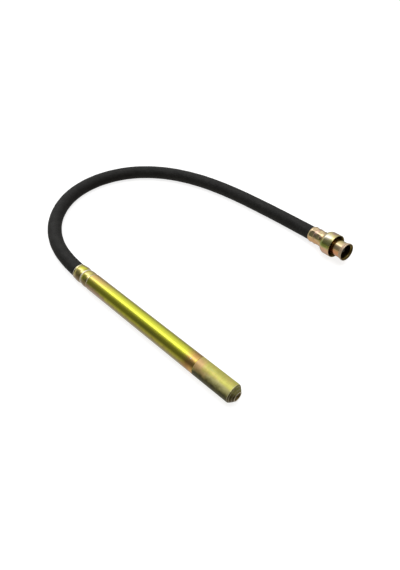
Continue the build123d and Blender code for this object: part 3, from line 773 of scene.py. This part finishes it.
def placed(shape: bmesh.types.BMesh, place: Place) -> bmesh.types.BMesh:
    """Move a shape made about X to its place."""
    bmesh.ops.transform(shape, matrix=place.matrix, verts=shape.verts)
    return shape


def stand_in(piece: bpy.types.Object, body: str, slot: str, *nodes: str) -> bpy.types.Object:
    """Let a new piece stand for CAD nodes on a body.

    Args:
        piece: The new piece.
        body: The CAD body it rides on.
        slot: The name of a material slot. It is not used.
        *nodes: The CAD nodes that it replaces.

    Returns:
        The piece.
    """
    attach(piece, body)
    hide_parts(*nodes)
    log.info("%s stands for %s", piece.name, ", ".join(nodes))
    return piece


def dress(material: bpy.types.Material, *nodes: str) -> None:
    """Give CAD nodes that keep their shape a better material.

    Args:
        material: The material.
        *nodes: The names of the CAD nodes.
    """
    for name in nodes:
        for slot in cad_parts[name].material_slots:
            slot.material = material
        log.info("%s keeps its shape and takes %s", name, material.name)


# ---------------------------------------------------------------- head


@dataclass
class Head:
    """The poker's head: tube, nose with its wear cone, lock pin and swaged ferrule."""

    radius: float = 17.5
    seam: float = 124.5
    nose_face: float = 210.0
    spigot_tail: float = 106.0
    spigot_radius: float = 15.21
    bore_radius: float = 13.02
    bore_end: float = 151.2
    pocket_radius: float = 9.0
    pocket_end: float = 161.2
    drill_radius: float = 1.0
    drill_end: float = 200.0
    cone_length: float = 9.0
    cone_tip_radius: float = 9.2
    recess_radius: float = 7.4
    recess_depth: float = 1.6
    centre_radius: float = 2.2
    centre_depth: float = 6.0
    pin_radius: float = 1.5
    pin_station: float = 112.5
    pin_angle: float = 20.0
    pin_dome: float = 0.35
    pin_dome_radius: float = 0.75
    mouth: float = -210.0
    ferrule_end: float = -166.3
    ferrule_bore: float = 15.3
    lip_length: float = 3.0
    lip_radius: float = 16.3
    groove_radius: float = 15.8
    bulge_radius: float = 17.45
    groove_half_width: float = 1.5

    @property
    def place(self) -> Place:
        """The head's own axis, which the CAD node of the tube gives."""
        low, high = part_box("head_tube")
        return Place(Vector((0, 0, (low.z + high.z) / 2)), Vector((1, 0, 0)))

    def build(self) -> list[bpy.types.Object]:
        """Build and dress the head's pieces.

        Returns:
            The new pieces, from the nose to the tail.
        """
        tube_film = Stuff.HEAD_FILM.value.build("head_film", self.place)
        dress(tube_film, "head_tube", "tail_connector")
        ferrule_film = Stuff.FERRULE_FILM.value.build("ferrule_film", self.place)
        return [self.nose(), self.pin(), self.ferrule(ferrule_film)]

    def nose(self) -> bpy.types.Object:
        """Nose cap: barrel, wear cone with tool steps, and a dished face with a centre hole.

        Returns:
            The piece, riding on the casing.
        """
        cone_base = self.nose_face - self.cone_length
        floor = self.nose_face - self.recess_depth
        shape = Turning([
            (self.spigot_tail, self.bore_radius, 0),
            (self.bore_end, self.bore_radius, 0),
            (self.bore_end, self.pocket_radius, 0),
            (self.pocket_end, self.pocket_radius, 0),
            (self.pocket_end + 5.0, self.drill_radius, 0),
            (self.drill_end, self.drill_radius, 0),
            (floor - self.centre_depth, self.centre_radius, 0),
            (floor, self.centre_radius, 0.3),
            (floor, self.recess_radius - 0.6, 0.5),
            (self.nose_face, self.recess_radius, 0.35),
            (self.nose_face, self.cone_tip_radius, 0.6),
            (cone_base + 6.2, self.cone_tip_radius + 2.3, 0.25),
            (cone_base + 5.8, self.cone_tip_radius + 3.3, 0.25),
            (cone_base + 2.6, self.radius - 2.2, 0.2),
            (cone_base + 2.4, self.radius - 1.7, 0.2),
            (cone_base, self.radius, 0.5),
            (self.seam, self.radius, 0.45),
            (self.seam, self.spigot_radius, 0),
            (self.spigot_tail, self.spigot_radius, 0),
        ]).spin()
        # The rim round the dished face takes a painted highlight, and the dish a painted shade.
        cone, dish, rim = 1, 2, 3
        for face in shape.faces:
            middle = face.calc_center_median()
            radius = math.hypot(middle.y, middle.z)
            if middle.x > self.nose_face - 0.25 and radius > self.recess_radius - 0.3:
                face.material_index = rim
            elif middle.x > cone_base + 0.3:
                face.material_index = cone if radius > self.recess_radius + 0.1 else dish
        finishes = {
            "nose_film": Stuff.NOSE_FILM,
            "cone_film": Stuff.CONE_FILM,
            "dish_film": Stuff.INSIDE_SHADE,
            "rim_film": Stuff.RIM_HIGHLIGHT,
        }
        materials = [stuff.value.build(name, self.place) for name, stuff in finishes.items()]
        piece = shown("nose_cap_turned", placed(shape, self.place), materials)
        return stand_in(piece, "casing", "turned_zinc_steel", "nose_cap")

    def pin(self) -> bpy.types.Object:
        """Lock pin, peened to a low dome in the wall of the tube.

        Returns:
            The piece, riding on the casing.
        """
        angle = math.radians(self.pin_angle)
        outwards = Vector((0, -math.sin(angle), math.cos(angle)))
        foot = self.place.origin + Vector((self.pin_station * MM, 0, 0))
        depth = self.radius - self.bore_radius - 1.0
        start = self.radius - depth
        place = Place(foot, outwards)
        shape = Turning([
            (start, AXIS_RADIUS, 0),
            (start, self.pin_radius, 0.1),
            (self.radius - 0.05, self.pin_radius, 0.3),
            (self.radius + self.pin_dome, self.pin_dome_radius, 0.6),
            (self.radius + self.pin_dome, AXIS_RADIUS, 0),
        ], segments=40).spin()
        # The pin's dome takes a painted highlight.
        material = Stuff.PIN_HIGHLIGHT.value.build("pin_steel", place)
        piece = shown("lock_pin_peened", placed(shape, place), [material])
        return stand_in(piece, "casing", "machined_steel", "lock_pin")

    def ferrule(self, material: bpy.types.Material) -> bpy.types.Object:
        """Ferrule swaged over the hose: a rolled lip at its mouth and two round bulges.

        Args:
            material: The material of all but its rims, which take a painted highlight.

        Returns:
            The piece, riding on the casing.
        """
        lip = self.mouth + self.lip_length
        groove = (lip + self.ferrule_end) / 2
        half = self.groove_half_width
        first_top = (lip + groove - half) / 2
        second_top = (groove + half + self.ferrule_end - 0.9) / 2
        low = self.groove_radius
        apex = 2 * self.bulge_radius - low
        side = (groove - half - lip) / 2 * 0.93
        shape = Turning([
            (self.mouth, self.ferrule_bore, 0.3),
            (self.mouth, self.lip_radius, 0.5),
            (lip - 0.8, self.lip_radius + 0.3, 0.6),
            (lip, low, 0.5),
            (first_top, apex, side),
            (groove - half, low, 0.6),
            (groove, low - 0.3, 0.9),
            (groove + half, low, 0.6),
            (second_top, apex, side),
            (self.ferrule_end - 0.9, low, 0.6),
            (self.ferrule_end, low + 0.7, 0.3),
            (self.ferrule_end, self.ferrule_bore, 0),
        ]).spin()
        # The mouth, the middle groove and the end take a painted highlight.
        for face in shape.faces:
            station = face.calc_center_median().x
            near_groove = abs(station - groove) < half * 0.8
            if near_groove or station < self.mouth + 1.6 or station > self.ferrule_end - 1.3:
                face.material_index = 1
        rim = Stuff.RIM_HIGHLIGHT.value.build("ferrule_rims", self.place)
        piece = shown("tail_ferrule_swaged", placed(shape, self.place), [material, rim])
        return stand_in(piece, "casing", "yellow_zinc_steel", "tail_ferrule")


# ---------------------------------------------------------------- hose


class Relief(Enum):
    """What stands out of the surface of a layer of the hose."""

    CLOTH_WRAP = "cloth_wrap"
    BRAID = "braid"
    SPIRAL = "spiral"
    STRANDS = "strands"


@dataclass(frozen=True)
class Layer:
    """One layer of the hose, or the shaft inside it, as a straight tube before it is bent."""

    name: str
    node: str
    slot: str
    outer: float
    inner: float
    relief: Relief
    depth: float
    pitch: float
    step: float
    segments: int
    overrun: float = 0.0

    def height(self, along: float, angle: float) -> float:
        """Return how far the surface stands in from the layer's full radius.

        Args:
            along: Distance along the hose, in millimetres.
            angle: Angle round the hose, in radians.

        Returns:
            The depth below the full radius, in millimetres.
        """
        turn = angle / (2 * math.pi)
        if self.relief is Relief.CLOTH_WRAP:
            phase = (along / self.pitch + turn) % 1.0
            lap = min(phase / 0.06, (1 - phase) / 0.9)
            wave = noise.noise(Vector((along * 0.035, math.cos(angle), math.sin(angle))))
            return self.depth * (1 - min(lap, 1.0)) + self.depth * 0.45 * (1 + wave)
        if self.relief is Relief.BRAID:
            one = math.sin(2 * math.pi * along / self.pitch + 12 * angle)
            other = math.sin(2 * math.pi * along / self.pitch - 12 * angle)
            return self.depth * (0.5 + 0.5 * one * other)
        if self.relief is Relief.SPIRAL:
            phase = (along / self.pitch + turn) % 1.0
            return self.depth * max(0.0, 1 - abs(phase - 0.5) / 0.12)
        strand = math.sin(math.pi * (along / self.pitch + 8 * turn))
        return self.depth * (1 - abs(strand))


@dataclass
class Hose:
    """The hose, on one smooth line from the head's ferrule to the drive end's.

    Its length, its mouth and its route are in metres, and its other sizes in millimetres.
    """

    radius: float = 15.25
    length: float = 1.04
    fade: float = 30.0
    mouth: Point = (-0.210, 0.0, 0.0175)
    route: tuple[Point, ...] = (
        (-0.182, 0.000, 0.0175),
        (-0.268, -0.001, 0.0175),
        (-0.377, 0.044, 0.0153),
        (-0.445, 0.125, 0.0153),
        (-0.461, 0.217, 0.0153),
        (-0.430, 0.304, 0.0153),
        (-0.364, 0.367, 0.0153),
        (-0.276, 0.404, 0.0153),
        (-0.178, 0.420, 0.0153),
        (-0.062, 0.423, 0.0153),
        (0.0426, 0.4213, 0.0153),
        (0.0923, 0.4119, 0.0220),
    )
    layers: tuple[Layer, ...] = (
        Layer("hose_jacket_wrapped", "hose_jacket", "hose_rubber", 15.25, 11.7,
              Relief.CLOTH_WRAP, 0.16, 34.0, 1.5, 56),
        Layer("hose_braid_woven", "hose_braid", "hose_braid", 11.6, 10.6,
              Relief.BRAID, 0.25, 16.0, 2.0, 72),
        Layer("hose_liner_spiral", "hose_liner", "spring_steel", 10.5, 8.5,
              Relief.SPIRAL, 0.5, 9.0, 1.4, 28),
        Layer("flexible_core_stranded", "flexible_core", "spring_steel", 5.0, 0.0,
              Relief.STRANDS, 0.5, 22.0, 2.2, 48, 22.0),
    )
    points: list[Vector] = field(default_factory=list, init=False)

    def line(self) -> bpy.types.Object:
        """Make the hose's middle line, a smooth spline by the route.

        Returns:
            The curve object.
        """
        curve = bpy.data.curves.new("hose_line", "CURVE")
        curve.dimensions = "3D"
        curve.resolution_u = 48
        spline = curve.splines.new("NURBS")
        spline.points.add(len(self.route) - 1)
        for point, place in zip(spline.points, self.route):
            point.co = (*place, 1.0)
        spline.order_u = 3
        spline.use_endpoint_u = True
        guide = bpy.data.objects.new("hose_line", curve)
        bpy.context.scene.collection.objects.link(guide)
        return guide

    def build(self) -> list[bpy.types.Object]:
        """Build every layer, bent to the middle line.

        Returns:
            The layers, the jacket first.
        """
        guide = self.line()
        bpy.context.view_layer.update()
        evaluated = guide.evaluated_get(bpy.context.evaluated_depsgraph_get())
        read = bpy.data.meshes.new_from_object(evaluated)
        self.points = [vertex.co.copy() for vertex in read.vertices]
        run = sum((b - a).length for a, b in zip(self.points, self.points[1:])) / MM
        dressing = {
            Relief.CLOTH_WRAP: WrappedRubber().build("hose_rubber_wrapped"),
            Relief.BRAID: Moulded(
                linear(120, 108, 84), linear(176, 164, 134), 0.8, 0.5, 0.05
            ).build("braid_cord", "rest"),
            Relief.SPIRAL: Moulded(
                linear(40, 41, 44), linear(92, 92, 96), 0.45, 0.8, 0.01, metal=1.0
            ).build("liner_steel", "rest"),
            Relief.STRANDS: Moulded(
                linear(52, 52, 55), linear(118, 116, 112), 0.4, 0.6, 0.02, metal=1.0
            ).build("shaft_wire", "rest"),
        }
        pieces = [self.bent(layer, guide, run, dressing[layer.relief]) for layer in self.layers]
        bpy.data.objects.remove(guide)
        return pieces

    def bent(
        self, layer: Layer, guide: bpy.types.Object, run: float, material: bpy.types.Material
    ) -> bpy.types.Object:
        """Make one layer straight, with its relief, and bend it along the middle line.

        Args:
            layer: The layer.
            guide: The middle line.
            run: Length of the middle line, in millimetres.
            material: The layer's material.

        Returns:
            The piece, riding on the casing.
        """
        start, end = -layer.overrun, run + layer.overrun
        steps = int((end - start) / layer.step)
        inner = max(layer.inner, AXIS_RADIUS)
        outer = layer.outer
        outline = [(start, outer, 0), (end, outer, 0), (end, inner, 0), (start, inner, 0)]
        shape = Turning(outline, layer.segments, {0: steps, 2: steps // 4}).spin()
        rest = shape.verts.layers.float_vector.new("rest")
        middle = (outer + inner) / 2
        for vertex in shape.verts:
            vertex[rest] = vertex.co
            radius = math.hypot(vertex.co.y, vertex.co.z)
            if radius > middle:
                angle = math.atan2(vertex.co.y, vertex.co.z)
                inside = min(vertex.co.x - start, end - vertex.co.x) / self.fade
                sunk = layer.height(vertex.co.x, angle) * min(inside, 1.0)
                vertex.co.yz = vertex.co.yz * ((radius - sunk) / radius)
        bmesh.ops.transform(shape, matrix=Matrix.Scale(MM, 4), verts=shape.verts)
        piece = shown(layer.name, shape, [material])
        bend = piece.modifiers.new("bend", "CURVE")
        bend.object = guide
        graph = bpy.context.evaluated_depsgraph_get()
        graph.update()
        mesh = bpy.data.meshes.new_from_object(
            piece.evaluated_get(graph), preserve_all_data_layers=True, depsgraph=graph
        )
        piece.modifiers.clear()
        piece.data = mesh
        return stand_in(piece, "casing", layer.slot, layer.node)

    def declare(
        self, pieces: Sequence[bpy.types.Object], fittings: Sequence[bpy.types.Object]
    ) -> None:
        """Args:
            pieces: The layers, the jacket first.
            fittings: What is on the hose's far end.
        """
        log.info("the hose is declared with %d pieces", len(pieces) + len(fittings) - 1)


# ---------------------------------------------------------------- drive end


@dataclass
class DriveEnd:
    """The drive end: crimped ferrule, coupling nut and lipped stub on one axis."""

    hose: Hose
    insertion: float = 28.0
    bore_radius: float = 15.3
    ferrule_length: float = 34.5
    ferrule_radius: float = 17.2
    ferrule_seat: float = 30.5
    ferrule_step: float = 0.6
    neck_bore: float = 13.55
    flats: int = 8
    flat_radius: float = 15.95
    flat_turn: float = -5.0
    flat_width: float = 10.0
    rim_width: float = 1.2
    rim_slope: float = 0.9
    rim_blend: float = 0.25
    nut_back: float = 37.1
    nut_front: float = 66.3
    nut_radius: float = 24.5
    nut_bore: float = 22.4
    nut_hole: float = 13.8
    shoulder: float = 5.6
    nut_floor: float = 45.5
    nut_rim: float = 4.6
    nut_chamfer: float = 0.9
    thread_pitch: float = 2.0
    thread_depth: float = 0.8
    flange_front: float = 51.7
    stub_front: float = 94.5
    stub_radius: float = 17.0
    stub_bore: float = 14.4
    lip_radius: float = 18.9
    lip_length: float = 3.0
    neck_length: float = 2.0
    neck_depth: float = 0.8
    bead_length: float = 2.4
    bead_height: float = 0.7
    clip_groove: tuple[float, float] = (70.7, 72.3)

    @property
    def place(self) -> Place:
        """The drive end's own axis, on the last run of the hose.

        Returns:
            The place whose origin is in the middle of the ferrule's mouth.
        """
        before, end = (Vector(point) for point in self.hose.route[-2:])
        axis = (end - before).normalized()
        return Place(end - axis * self.insertion * MM, axis)

    def build(self) -> list[bpy.types.Object]:
        """Build and dress the drive end's pieces.

        Returns:
            The new pieces, from the hose outwards.
        """
        film = Stuff.DRIVE_FILM.value.build("drive_film", self.place)
        # The painted shade for the insides of the nut and the stub.
        shade_material = Stuff.INSIDE_SHADE.value.build("oiled_bore", self.place)
        dress(film, "drive_connector")
        return [self.ferrule(film), self.nut(shade_material), self.stub(film, shade_material)]

    @staticmethod
    def paint_inside_shade(shape: bmesh.types.BMesh, start: float) -> None:
        """Give the faces that look in towards the axis the second material, a painted shade.

        Args:
            shape: The piece, in millimetres about X.
            start: The station where its bore starts.
        """
        for face in shape.faces:
            middle = face.calc_center_median()
            inwards = -(face.normal.y * middle.y + face.normal.z * middle.z)
            if middle.x > start and inwards > 0.3 * math.hypot(middle.y, middle.z):
                face.material_index = 1

    def ferrule(self, material: bpy.types.Material) -> bpy.types.Object:
        """Ferrule with a rounded mouth, pressed by two bands of flats with soft rims.

        Args:
            material: Its material.

        Returns:
            The piece, riding on the casing.
        """
        end = self.ferrule_length
        narrow = self.ferrule_radius - self.ferrule_step
        shape = Turning([
            (0, self.ferrule_radius - 1.0, 0.5),
            (3.0, self.ferrule_radius, 1.2),
            (end / 2 - 1.5, self.ferrule_radius, 1.2),
            (end / 2 + 2.0, narrow, 1.2),
            (end - 3.0, narrow, 1.2),
            (end, self.bore_radius, 0.4),
            (end, self.neck_bore, 0),
            (self.ferrule_seat, self.neck_bore, 0),
            (self.ferrule_seat, self.bore_radius, 0),
            (0, self.bore_radius, 0.3),
        ], segments=192, cuts={1: 26, 3: 26}).spin()
        space = (end - 2 * self.flat_width) / 3
        middles = (space + self.flat_width / 2, 2 * space + 1.5 * self.flat_width)
        for vertex in shape.verts:
            self.press(vertex, middles)
        bmesh.ops.recalc_face_normals(shape, faces=shape.faces)
        piece = shown("drive_ferrule_crimped", placed(shape, self.place), [material])
        return stand_in(piece, "casing", "bright_zinc_steel", "drive_ferrule")

    def press(self, vertex: bmesh.types.BMVert, middles: Sequence[float]) -> None:
        """Move a vertex of the ferrule's outside in to the flats of a band.

        Args:
            vertex: The vertex, in millimetres about X.
            middles: Stations of the middles of the bands.
        """
        radius = math.hypot(vertex.co.y, vertex.co.z)
        if radius < self.bore_radius + 0.6:
            return
        sector = 2 * math.pi / self.flats
        turned = math.atan2(vertex.co.y, vertex.co.z) - math.radians(self.flat_turn)
        angle = (turned + sector / 2) % sector - sector / 2
        away = min(abs(vertex.co.x - middle) for middle in middles) - self.flat_width / 2
        rise = max(0.0, away + self.rim_width) * self.rim_slope
        pressed = soft_min(radius, self.flat_radius / math.cos(angle) + rise, self.rim_blend)
        vertex.co.yz = vertex.co.yz * (pressed / radius)

    def nut(self, shade_material: bpy.types.Material) -> bpy.types.Object:
        """Coupling nut: a domed back and a thin skirt, threaded inside.

        Args:
            shade_material: The material of its inside.

        Returns:
            The piece, riding on the nut.
        """
        bore = self.nut_bore
        crest = bore + self.thread_depth
        thread = []
        station = self.flange_front + 1.0
        while station + self.thread_pitch < self.nut_front - 1.0:
            thread += [(station, bore, 0.1), (station + self.thread_pitch / 2, crest, 0.1)]
            station += self.thread_pitch
        shape = Turning([
            (self.nut_back, self.nut_hole, 0.4),
            (self.nut_floor, self.nut_hole, 0.3),
            (self.nut_floor, bore, 0.4),
            *thread,
            (station, bore, 0.1),
            (self.nut_front - self.nut_chamfer, bore, 0.1),
            (self.nut_front, bore + self.nut_chamfer, 0.2),
            (self.nut_front, self.nut_radius, 0.5),
            (self.nut_back + self.shoulder, self.nut_radius, self.shoulder - 0.6),
            (self.nut_back, self.nut_hole + self.nut_rim, 2.0),
        ]).spin()
        # Its inside takes the painted shade.
        self.paint_inside_shade(shape, self.nut_back + 2.0)
        material = Stuff.NUT_FILM.value.build("nut_film", self.place)
        piece = shown("coupling_nut_turned", placed(shape, self.place), [material, shade_material])
        return stand_in(piece, "nut", "bright_zinc_steel", "coupling_nut")

    def stub(self, material: bpy.types.Material, shade_material: bpy.types.Material) -> bpy.types.Object:
        """Stub: a tube with a bead, a groove and a lip with a flared mouth.

        Args:
            material: The material of its outside.
            shade_material: The material of its bore.

        Returns:
            The piece, riding on the casing.
        """
        front, radius, bore = self.stub_front, self.stub_radius, self.stub_bore
        lip = front - self.lip_length
        neck = lip - self.neck_length
        bead = neck - self.bead_length
        groove_back, groove_front = self.clip_groove
        shape = Turning([
            (self.flange_front, bore, 0),
            (groove_back, bore, 0),
            (groove_back, bore + 1.0, 0),
            (groove_front, bore + 1.0, 0),
            (groove_front, bore, 0.2),
            (lip, bore, 0.8),
            (front, self.lip_radius - 1.2, 0.3),
            (front, self.lip_radius, 0.5),
            (lip, self.lip_radius, 0.5),
            (lip, radius - self.neck_depth, 0.3),
            (neck, radius - self.neck_depth, 0.3),
            (neck, radius + self.bead_height, 0.5),
            (bead, radius + self.bead_height, 0.5),
            (bead, radius, 0.3),
            (self.flange_front, radius, 0),
        ]).spin()
        for face in shape.faces:
            if face.calc_center_median().x > bead + 0.1:
                face.material_index = 2
        # Its bore takes the painted shade.
        self.paint_inside_shade(shape, self.flange_front)
        pale = Stuff.LIP_FILM.value.build("lip_film", self.place)
        piece = shown("drive_stub_lipped", placed(shape, self.place), [material, shade_material, pale])
        return stand_in(piece, "casing", "bright_zinc_steel", "drive_stub")


# ---------------------------------------------------------------- inside pieces


@dataclass
class Inside:
    """The pieces inside the head and the stub, which keep the shape of their CAD nodes."""

    head: Place
    drive: Place

    def build(self) -> None:
        """Dress every inside node."""
        steel = Stuff.BEARING_STEEL.value.build("bearing_steel_ground", self.head)
        dress(
            steel, "front_bearing_outer", "front_bearing_inner", "front_bearing_balls",
            "rear_bearing_outers", "rear_bearing_inners", "rear_bearing_balls",
        )
        brass = Stuff.CAGE_BRASS.value.build("cage_brass_turned", self.head)
        dress(brass, "front_bearing_cage", "rear_bearing_cages")
        machined = Stuff.MACHINED_STEEL.value
        dress(
            machined.build("rotor_steel", self.head),
            "eccentric_rotor", "core_head_fitting", "bearing_spacer",
        )
        dress(machined.build("drive_steel", self.drive), "core_drive_fitting", "thrust_washer")
        spring = Stuff.SPRING_STEEL.value
        dress(spring.build("snap_ring_steel", self.head), "snap_rings")
        dress(spring.build("circlip_steel", self.drive), "bush_circlip")
        dress(Stuff.BUSH_BRONZE.value.build("bush_bronze_turned", self.drive), "stub_bush")
        seal = Moulded(linear(18, 18, 19), linear(40, 39, 38), 0.55, 0.6, 0.02)
        dress(seal.build("seal_rubber_moulded"), "nose_o_ring", "tail_o_ring", "oil_seal")


# ---------------------------------------------------------------- studio


@dataclass
class Studio:
    """Camera, pale floor and soft light, with places and sizes in metres.

    A sweep gives the glow of the room at angles in degrees about X, from straight up towards
    -Y. The head and the drive end mirror a sweep each, and each end of the room has one glow.
    """

    camera_place: Point = (0.449185, -0.318974, 0.667333)
    camera_right: Point = (0.720578, 0.693203, -0.015409)
    camera_up: Point = (-0.484894, 0.519680, 0.703428)
    lens: float = 29.684
    aim_right: float = -0.00106
    aim_up: float = 0.00106
    floor_size: float = 30.0
    box_place: Point = (-0.3, 0.5, 2.2)
    box_aim: Point = (0.0, 0.05, 0.0)
    box_side: float = 2.2
    box_watts: float = 22.0
    nose_end: Colour = (0.13, 0.12, 0.10)
    tail_end: Colour = (0.45, 0.45, 0.43)
    head_sweep: Sweep = (
        (-180, (0.50, 0.48, 0.46)),
        (-110, (0.34, 0.33, 0.31)),
        (-97, (0.36, 0.35, 0.33)),
        (-78, (0.44, 0.43, 0.41)),
        (-46, (0.76, 0.75, 0.73)),
        (-21, (1.00, 1.00, 0.98)),
        (-11, (1.60, 1.60, 1.60)),
        (-3, (2.00, 2.00, 2.00)),
        (4, (0.90, 0.90, 0.90)),
        (13, (0.42, 0.42, 0.42)),
        (28, (0.20, 0.20, 0.20)),
        (43, (0.12, 0.12, 0.12)),
        (77, (0.10, 0.10, 0.09)),
        (109, (0.40, 0.38, 0.35)),
        (141, (0.60, 0.58, 0.54)),
        (180, (0.50, 0.48, 0.46)),
    )
    drive_sweep: Sweep = (
        (-180, (0.50, 0.48, 0.46)),
        (-110, (0.30, 0.29, 0.28)),
        (-71, (0.34, 0.33, 0.32)),
        (-39, (0.56, 0.55, 0.54)),
        (-14, (0.90, 0.90, 0.88)),
        (-2, (1.80, 1.80, 1.78)),
        (14, (1.80, 1.80, 1.78)),
        (22, (0.60, 0.60, 0.59)),
        (35, (0.20, 0.20, 0.19)),
        (58, (0.05, 0.05, 0.05)),
        (82, (0.12, 0.11, 0.10)),
        (109, (0.42, 0.40, 0.38)),
        (141, (0.66, 0.64, 0.60)),
        (180, (0.50, 0.48, 0.46)),
    )

    def build(self) -> None:
        """Set up the whole studio."""
        self.camera()
        self.floor()
        self.light()
        self.world()
        bpy.context.scene.view_settings.view_transform = "Standard"
        log.info("the studio is set")

    def camera(self) -> None:
        """Place the camera."""
        right, up = Vector(self.camera_right), Vector(self.camera_up)
        look = up.cross(right) + right * self.aim_right + up * self.aim_up
        back = -look.normalized()
        right = up.cross(back).normalized()
        turn = Matrix((right, back.cross(right), back)).transposed()
        data = bpy.data.cameras.new("camera")
        data.lens = self.lens
        data.sensor_width = 36.0
        data.clip_start = 0.01
        camera = bpy.data.objects.new("camera", data)
        camera.matrix_world = Matrix.Translation(self.camera_place) @ turn.to_4x4()
        bpy.context.scene.collection.objects.link(camera)
        bpy.context.scene.camera = camera

    def floor(self) -> None:
        """Lay a plain pale floor under the object."""
        shape = bmesh.new()
        bmesh.ops.create_grid(shape, x_segments=1, y_segments=1, size=self.floor_size / 2)
        material, _, surface = principled("pale_floor")
        surface.inputs["Base Color"].default_value = (0.36, 0.36, 0.36, 1)
        surface.inputs["Roughness"].default_value = 0.9
        surface.inputs["Specular IOR Level"].default_value = 0.1
        surface.inputs["Emission Color"].default_value = (1, 1, 1, 1)
        surface.inputs["Emission Strength"].default_value = 0.82
        floor = shown("floor", shape, [material])
        floor.visible_glossy = False
        floor.visible_diffuse = False

    def light(self) -> None:
        """Hang a wide soft box over the object that metal doesn't mirror."""
        data = bpy.data.lights.new("over", "AREA")
        data.shape = "RECTANGLE"
        data.size = data.size_y = self.box_side
        data.energy = self.box_watts
        light = bpy.data.objects.new("over", data)
        back = (Vector(self.box_place) - Vector(self.box_aim)).normalized()
        across = Vector((0, 1, 0)).cross(back).normalized()
        turn = Matrix((across, back.cross(across), back)).transposed()
        light.matrix_world = Matrix.Translation(self.box_place) @ turn.to_4x4()
        light.visible_glossy = False
        bpy.context.scene.collection.objects.link(light)

    @staticmethod
    def ramp(tree: Tree, share: bpy.types.NodeSocket, sweep: Sweep) -> bpy.types.NodeSocket:
        """Return the glow of the room at an angle about X.

        Args:
            tree: The world's tree.
            share: The angle, from 0 at -180 degrees to 1 at 180.
            sweep: The glows, in the order of their angles.

        Returns:
            The glow.
        """
        made = tree.node("ShaderNodeValToRGB", {0: share})
        stops = made.color_ramp.elements
        stops.remove(stops[1])
        for number, (degrees, glow) in enumerate(sweep):
            place = degrees / 360 + 0.5
            stop = stops.new(place) if number else stops[0]
            stop.position = place
            stop.color = (*glow, 1.0)
        return made.outputs[0]

    def world(self) -> None:
        """Fill the room with soft light in two sweeps about X, with a glow at each end."""
        world = bpy.data.worlds.new("room")
        world.use_nodes = True
        bpy.context.scene.world = world
        world.node_tree.nodes.clear()
        tree = Tree(world.node_tree)
        where = tree.node("ShaderNodeTexCoord", {}).outputs["Generated"]
        along, across, up = tree.parts(where)[:3]
        forward = tree.math("MULTIPLY", across, -1.0)
        angle = tree.math("ARCTAN2", forward, up)
        share = tree.math("MULTIPLY_ADD", angle, 0.5 / math.pi, 0.5)
        head = self.ramp(tree, share, self.head_sweep)
        drive = self.ramp(tree, share, self.drive_sweep)
        swept = tree.mix(tree.smooth(along, -0.46, -0.34), head, drive)
        swept = tree.mix(tree.smooth(along, 0.42, 0.72), swept, self.nose_end)
        swept = tree.mix(tree.smooth(along, -0.8, -0.98), swept, self.tail_end)
        room = tree.node("ShaderNodeBackground", {"Color": swept, "Strength": 1.0})
        plain = tree.node("ShaderNodeBackground", {"Color": (0.96, 0.96, 0.96), "Strength": 1.0})
        seen = tree.node("ShaderNodeLightPath", {}).outputs["Is Camera Ray"]
        both = tree.node("ShaderNodeMixShader", {0: seen, 1: room.outputs[0], 2: plain.outputs[0]})
        tree.node("ShaderNodeOutputWorld", {"Surface": both.outputs[0]})


# ---------------------------------------------------------------- main


def write_sizes() -> None:
    """Update the view layer."""
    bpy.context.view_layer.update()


def main() -> None:
    """Build the studio and every sub-assembly, in order."""
    logging.basicConfig(level=logging.INFO, format="%(name)s: %(message)s")
    Studio().build()
    hose = Hose()
    layers = hose.build()
    head = Head()
    head.build()
    drive = DriveEnd(hose)
    fittings = drive.build()
    kept = ("drive_connector", "thrust_washer", "stub_bush", "bush_circlip", "core_drive_fitting")
    hose.declare(layers, [*fittings, *(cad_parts[name] for name in kept)])
    Inside(head.place, drive.place).build()
    write_sizes()


if __name__ == "__main__":
    main()
